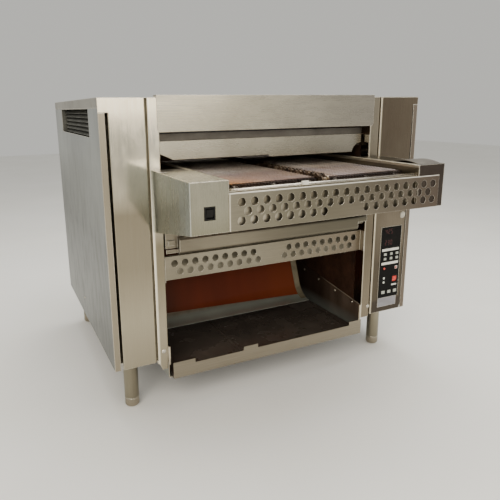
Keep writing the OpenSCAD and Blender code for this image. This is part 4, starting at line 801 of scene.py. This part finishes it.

# Most stainless below is one brushed sheet in lit and shaded copies: their colours and shades are painted
# light.
materials = {
    # Painted light at the top, painted shade in the middle and lighter again low down.
    "front_steel": brushed_stainless("warm_front_stainless", "#F6EDD8", "#D6CDB7", "z", 0.13,
                                     shades=[("Z", 760, 850, "#DACFB6"), ("Z", 710, 570, "#867E6D"),
                                             ("Z", 430, 280, "#A29A87")]),
    # Painted light and shade by height, and a painted highlight along the post's left fold.
    "left_post_steel": brushed_stainless("left_post_stainless", "#F8EFDA", "#DAD1BB", "z", 0.16,
                                         shades=[("Z", 770, 850, "#DACFB6"), ("Z", 640, 480, "#7F7764"),
                                                 ("Z", 400, 240, "#A39A87"), ("X", -377, -380.5, "#E9E1CF")]),
    # Painted shade towards the right.
    "hood_steel": brushed_stainless("hood_stainless", "#C6BFAE", "#A8A18F", "x", 0.26, fold=1.5,
                                    shades=[("X", 0, 330, "#9A9489")]),
    # Painted shade to the right, painted highlights on the left edge and top fold, painted shadow behind the
    # fold.
    "upper_guard_steel": brushed_stainless("upper_guard_stainless", "#938D7E", "#797363", "x", 0.30, fold=0.9,
                                           shades=[("X", -60, 330, "#685C52"),
                                                   ("X", -285.4, -286.6, "#D5CDBD"),
                                                   ("Z", 649.2, 650.0, "#F8F3E8"),
                                                   ("Y", -509.5, -508, "#38332A")]),
    # Painted shade to the right, and a painted reflection on the inner face of the right end's flange.
    "guard_steel": brushed_stainless("guard_stainless", "#928B7C", "#787262", "x", 0.30, fold=1.2,
                                     shades=[("X", -60, 300, "#7C7162"), ("X", 315.6, 316.3, "#C6C2B6")]),
    # Painted shade on the upper row of holes, under the guard's top flange.
    "liner_steel": scaled_steel("liner_steel", "#A8A18F", "#89826F", rough=0.5, metallic=0.35,
                                shades=[("Z", 400, 414, "#66604F")]),
    # Painted shade to the right and higher up, and a painted highlight on the top lip.
    "rail_steel": brushed_stainless("rail_stainless", "#C6BEAC", "#A59D8B", "x", 0.34,
                                    shades=[("X", -60, 255, "#8A8170"), ("Z", 598, 628, "#857D6C"),
                                            ("Z", 673.0, 674.0, "#DAD2C0")]),
    # Painted shade low down, painted light on the top, and a painted cool reflection on the outer side.
    "box_steel": brushed_stainless("cool_box_stainless", "#A4A191", "#868270", "z", 0.26,
                                   shades=[("Z", 620, 550, "#86826F"), ("Z", 679.4, 680.4, "#C0BBA9"),
                                           ("X", -378.2, -379, "#B2BAB8")]),
    # Painted light at the top, painted shade lower down and on the front return.
    "side_steel": brushed_stainless("cool_side_stainless", "#BCBEB9", "#A0A29E", "z", 0.32, soil=0.15,
                                    shades=[("Z", 700, 480, "#656763"), ("Y", -249.0, -249.4, "#958C7B")]),
    # A shaded copy of the side steel: painted shade, darker still on the front return.
    "far_side_steel": brushed_stainless("far_side_stainless", "#A2A39D", "#898B86", "z", 0.36, soil=0.15,
                                        shades=[("Y", -249.0, -249.4, "#746A5F")]),
    # Painted shade over the right cover, deeper at the top and low down; painted highlight on its left fold.
    "right_steel": brushed_stainless("shaded_right_stainless", "#857B6C", "#62594C", "z", 0.28, soil=0.35,
                                     shades=[("Z", 480, 760, "#605649"), ("Z", 440, 320, "#585044"),
                                             ("Z", 196, 188, "#48413A"), ("X", 363, 360, "#CBC1AB")]),
    # Painted light at the top, a painted highlight along the left fold and painted shade behind the front
    # face.
    "right_post_steel": brushed_stainless("right_post_stainless", "#857B6A", "#6A6152", "z", 0.28, soil=0.3,
                                          shades=[("Z", 560, 760, "#8A8273"), ("X", 321, 318, "#D9D0BA"),
                                                  ("Y", -249.3, -248.6, "#5E4E41")]),
    # A shaded copy: painted shade over the right box.
    "drive_box_steel": brushed_stainless("drive_box_stainless", "#4B433D", "#37302A", "z", 0.34, soil=0.35),
    # Painted shade towards the right.
    "tray_steel": brushed_stainless("tray_stainless", "#8A8272", "#6B6558", "x", 0.32, soil=0.4,
                                    shades=[("X", -250, 150, "#656053")]),
    "top_steel": brushed_stainless("top_stainless", "#BDB8AB", "#9E998D", "x", 0.34, soil=0.3),
    "leg_steel": brushed_stainless("leg_stainless", "#9A9381", "#6C6657", "z", 0.18),
    "frame_steel": scaled_steel("frame_steel", "#5A554D", "#36322D"),
    "inner_steel": scaled_steel("browned_inner_steel", "#4A3528", "#1E1612", rough=0.5),
    "cavity_steel": scaled_steel("browned_cavity_steel", "#6E5141", "#382A22", rough=0.5),
    "foot_steel": brushed_stainless("foot_stainless", "#AFA695", "#8A8273", "x", 0.24),
    # Pale and glossy: a painted highlight.
    "jamb_highlight_steel": brushed_stainless("jamb_highlight_stainless", "#E4DDCE", "#CFC7B7", "z", 0.08, soil=0.1),
    # Paler and less metallic than the hood: painted light on the cap's ends.
    "painted_light_cap_end_steel": scaled_steel("painted_light_cap_end_steel", "#D6CFBF", "#BDB5A4", rough=0.5, metallic=0.3),
    "skirt_steel": skirt_steel(),
    "chute_steel": scaled_steel("browned_chute_steel", "#948B7B", "#5E5546", rough=0.45, metallic=0.8,
                                shades=[("Z", 172, 160, "#ADB2A8")]),
    "burner_iron": scaled_steel("burner_iron", "#4E443C", "#241E1A", rough=0.75, metallic=0.5, grain_mm=6),
    "louvre_steel": scaled_steel("louvre_steel", "#6A6A64", "#42423D", rough=0.55),
    "black_pipe": painted_steel("black_pipe", "#1B1A19", "#111010"),
    "drive_paint": painted_steel("drive_paint", "#645F57", "#4E4942", rough=0.4),
    "shaded_plate": brushed_stainless("shaded_plate_stainless", "#8F8982", "#78726B", "x", 0.3,
                                      shades=[("X", 150, 260, "#5F594F")]),
    # Paler than the rail: a painted highlight on the rolled rim.
    "painted_highlight_bead": brushed_stainless("bright_bead_stainless", "#E6E0D6", "#CFC8BC", "x", 0.22, soil=0.1),
    "slot_steel": scaled_steel("slot_steel", "#726D65", "#5A554E", rough=0.5, metallic=0.5),
    # Painted shade in the seams.
    "seam_shade_steel": scaled_steel("seam_shade_steel", "#6E6857", "#56503F", rough=0.6, metallic=0.4),
    "clamp_steel": scaled_steel("clamp_steel", "#8E8670", "#69614D", rough=0.5, metallic=0.5),
    "belt_wire": belt_wire(),
    "chain": chain_steel(),
    "film": release_film(),
    "pan": greased_pan(),
    "shaft": turned_steel(),
    "plated": plated_steel(),
    "brass": raw_brass(),
    "overlay_film": moulded_plastic("overlay_polyester", "#0E0D0C", "#090808", 0.42, shine=0.10),
    "acrylic": smoked_display(),
    "black_switch": moulded_plastic("black_switch_nylon", "#121110", "#0C0B0B", 0.42, shine=0.2),
    "red_switch": moulded_plastic("red_switch_polycarbonate", "#D33A2C", "#B22C20", 0.28),
    "key_plastic": moulded_plastic("key_silicone", "#B9BCB2", "#9DA096", 0.5),
    "white_film": moulded_plastic("white_label_film", "#E6E4DA", "#D2D0C6", 0.5),
    "white_nylon": moulded_plastic("white_guide_nylon", "#DEDBD0", "#C6C2B5", 0.45),
    "plate_aluminium": brushed_stainless("blank_plate_aluminium", "#A09EA3", "#88868B", "x", 0.4, soil=0.2),
    "red_lamp": lamp_plastic("red_lamp_lens", "#C4412F", "#A83324", 0.2, shades=[("Z", 290, 286, "#C3C7BD")]),
    "digit_red": lamp_plastic("digit_red", "#4A0E12", "#3E0B0F", 0.12),
}

FINISHES = {
    "base_frame": "frame_steel", "corner_posts": "frame_steel", "legs": "leg_steel", "feet": "foot_steel",
    "left_side_panel": "side_steel", "right_side_panel": "far_side_steel", "rear_panel": "side_steel",
    "top_cover": "top_steel", "left_front_cover": "front_steel", "right_front_cover": "right_steel",
    "left_channel": "left_post_steel", "right_channel": "right_post_steel", "hood_panel": "hood_steel",
    "entry_baffle": "hood_steel", "side_vent_louvres": "louvre_steel", "left_inner_wall": "cavity_steel",
    "right_inner_wall": "cavity_steel", "inner_rear_wall": "inner_steel", "radiant_burners": "burner_iron",
    "lower_burners": "burner_iron", "gas_manifold": "black_pipe", "gas_valve": "brass",
    "discharge_chute": "chute_steel", "release_sheet": "film", "sheet_clamp": "clamp_steel",
    "cavity_skirts": "skirt_steel", "lower_guard": "guard_steel", "guard_liner": "liner_steel",
    "tray_runners": "inner_steel",
    "conveyor_left_box": "box_steel", "conveyor_right_box": "drive_box_steel", "conveyor_rails": "rail_steel",
    "upper_guard": "upper_guard_steel", "drive_cover": "drive_paint", "drive_motor": "drive_paint",
    "shaft_bearings": "frame_steel", "belt_support": "inner_steel", "left_belt": "belt_wire",
    "right_belt": "belt_wire", "centre_chain": "chain", "drive_shaft": "shaft", "idler_shaft": "shaft",
    "grease_tray": "tray_steel", "discharge_pan": "pan", "control_overlay": "overlay_film",
    "display_board": "acrylic", "indicator_lamps": "red_lamp", "rocker_housings": "black_switch",
    "power_rocker": "red_switch", "conveyor_rocker": "black_switch", "panel_latch": "plated"}

# The nine keys aren't listed above.
for node_name, part in cad.items():
    part.data.materials.clear()
    part.data.materials.append(materials[FINISHES.get(node_name, "key_plastic")])

wire_belt("left_wire_belt", "left_belt", materials["belt_wire"])
wire_belt("right_wire_belt", "right_belt", materials["belt_wire"])
release_cloth("release_sheet", materials["film"])
control_trim(materials)
weld_beads(materials["chute_steel"])
latch_washer(materials["plated"])
guide_block(materials["white_nylon"])
box_rear_plates(materials["shaded_plate"])
hood_ends(materials["painted_light_cap_end_steel"])
jamb_highlight_plate(materials["jamb_highlight_steel"])
bottom_sheet(materials["cavity_steel"])
baffle_upstand(materials["slot_steel"])
rim_bead(materials["painted_highlight_bead"])
seam_shade_strips(materials["seam_shade_steel"])

# Screws sit on a face's own plane, in millimetres, and point out of it.
skirt_gauge = 1.5
skirt_left, skirt_right = [corner.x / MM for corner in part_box("cavity_skirts")]
skirt_faces = ((skirt_right - skirt_gauge, -1), (skirt_left + skirt_gauge, 1))
skirt_spots = ((79, 217.6), (-14, 206.5), (-112, 194.5), (-205, 184.7))
channel_places = [((x, FRONT, z), (0, -1, 0)) for x, z in ((-368, 179), (346, 180))]
skirt_places = [((x, y, z), (way, 0, 0)) for x, way in skirt_faces for y, z in skirt_spots]
side_places = [((corner[0] / MM, 164.5, 218), (way, 0, 0)) for corner, way in zip(cad_box, (-1, 1))]
round_screws("channel_screws", channel_places, materials["plated"], 6.2)
round_screws("skirt_screws", skirt_places, materials["plated"], 4.4)
round_screws("side_screws", side_places, materials["plated"], 4.0)

studio()
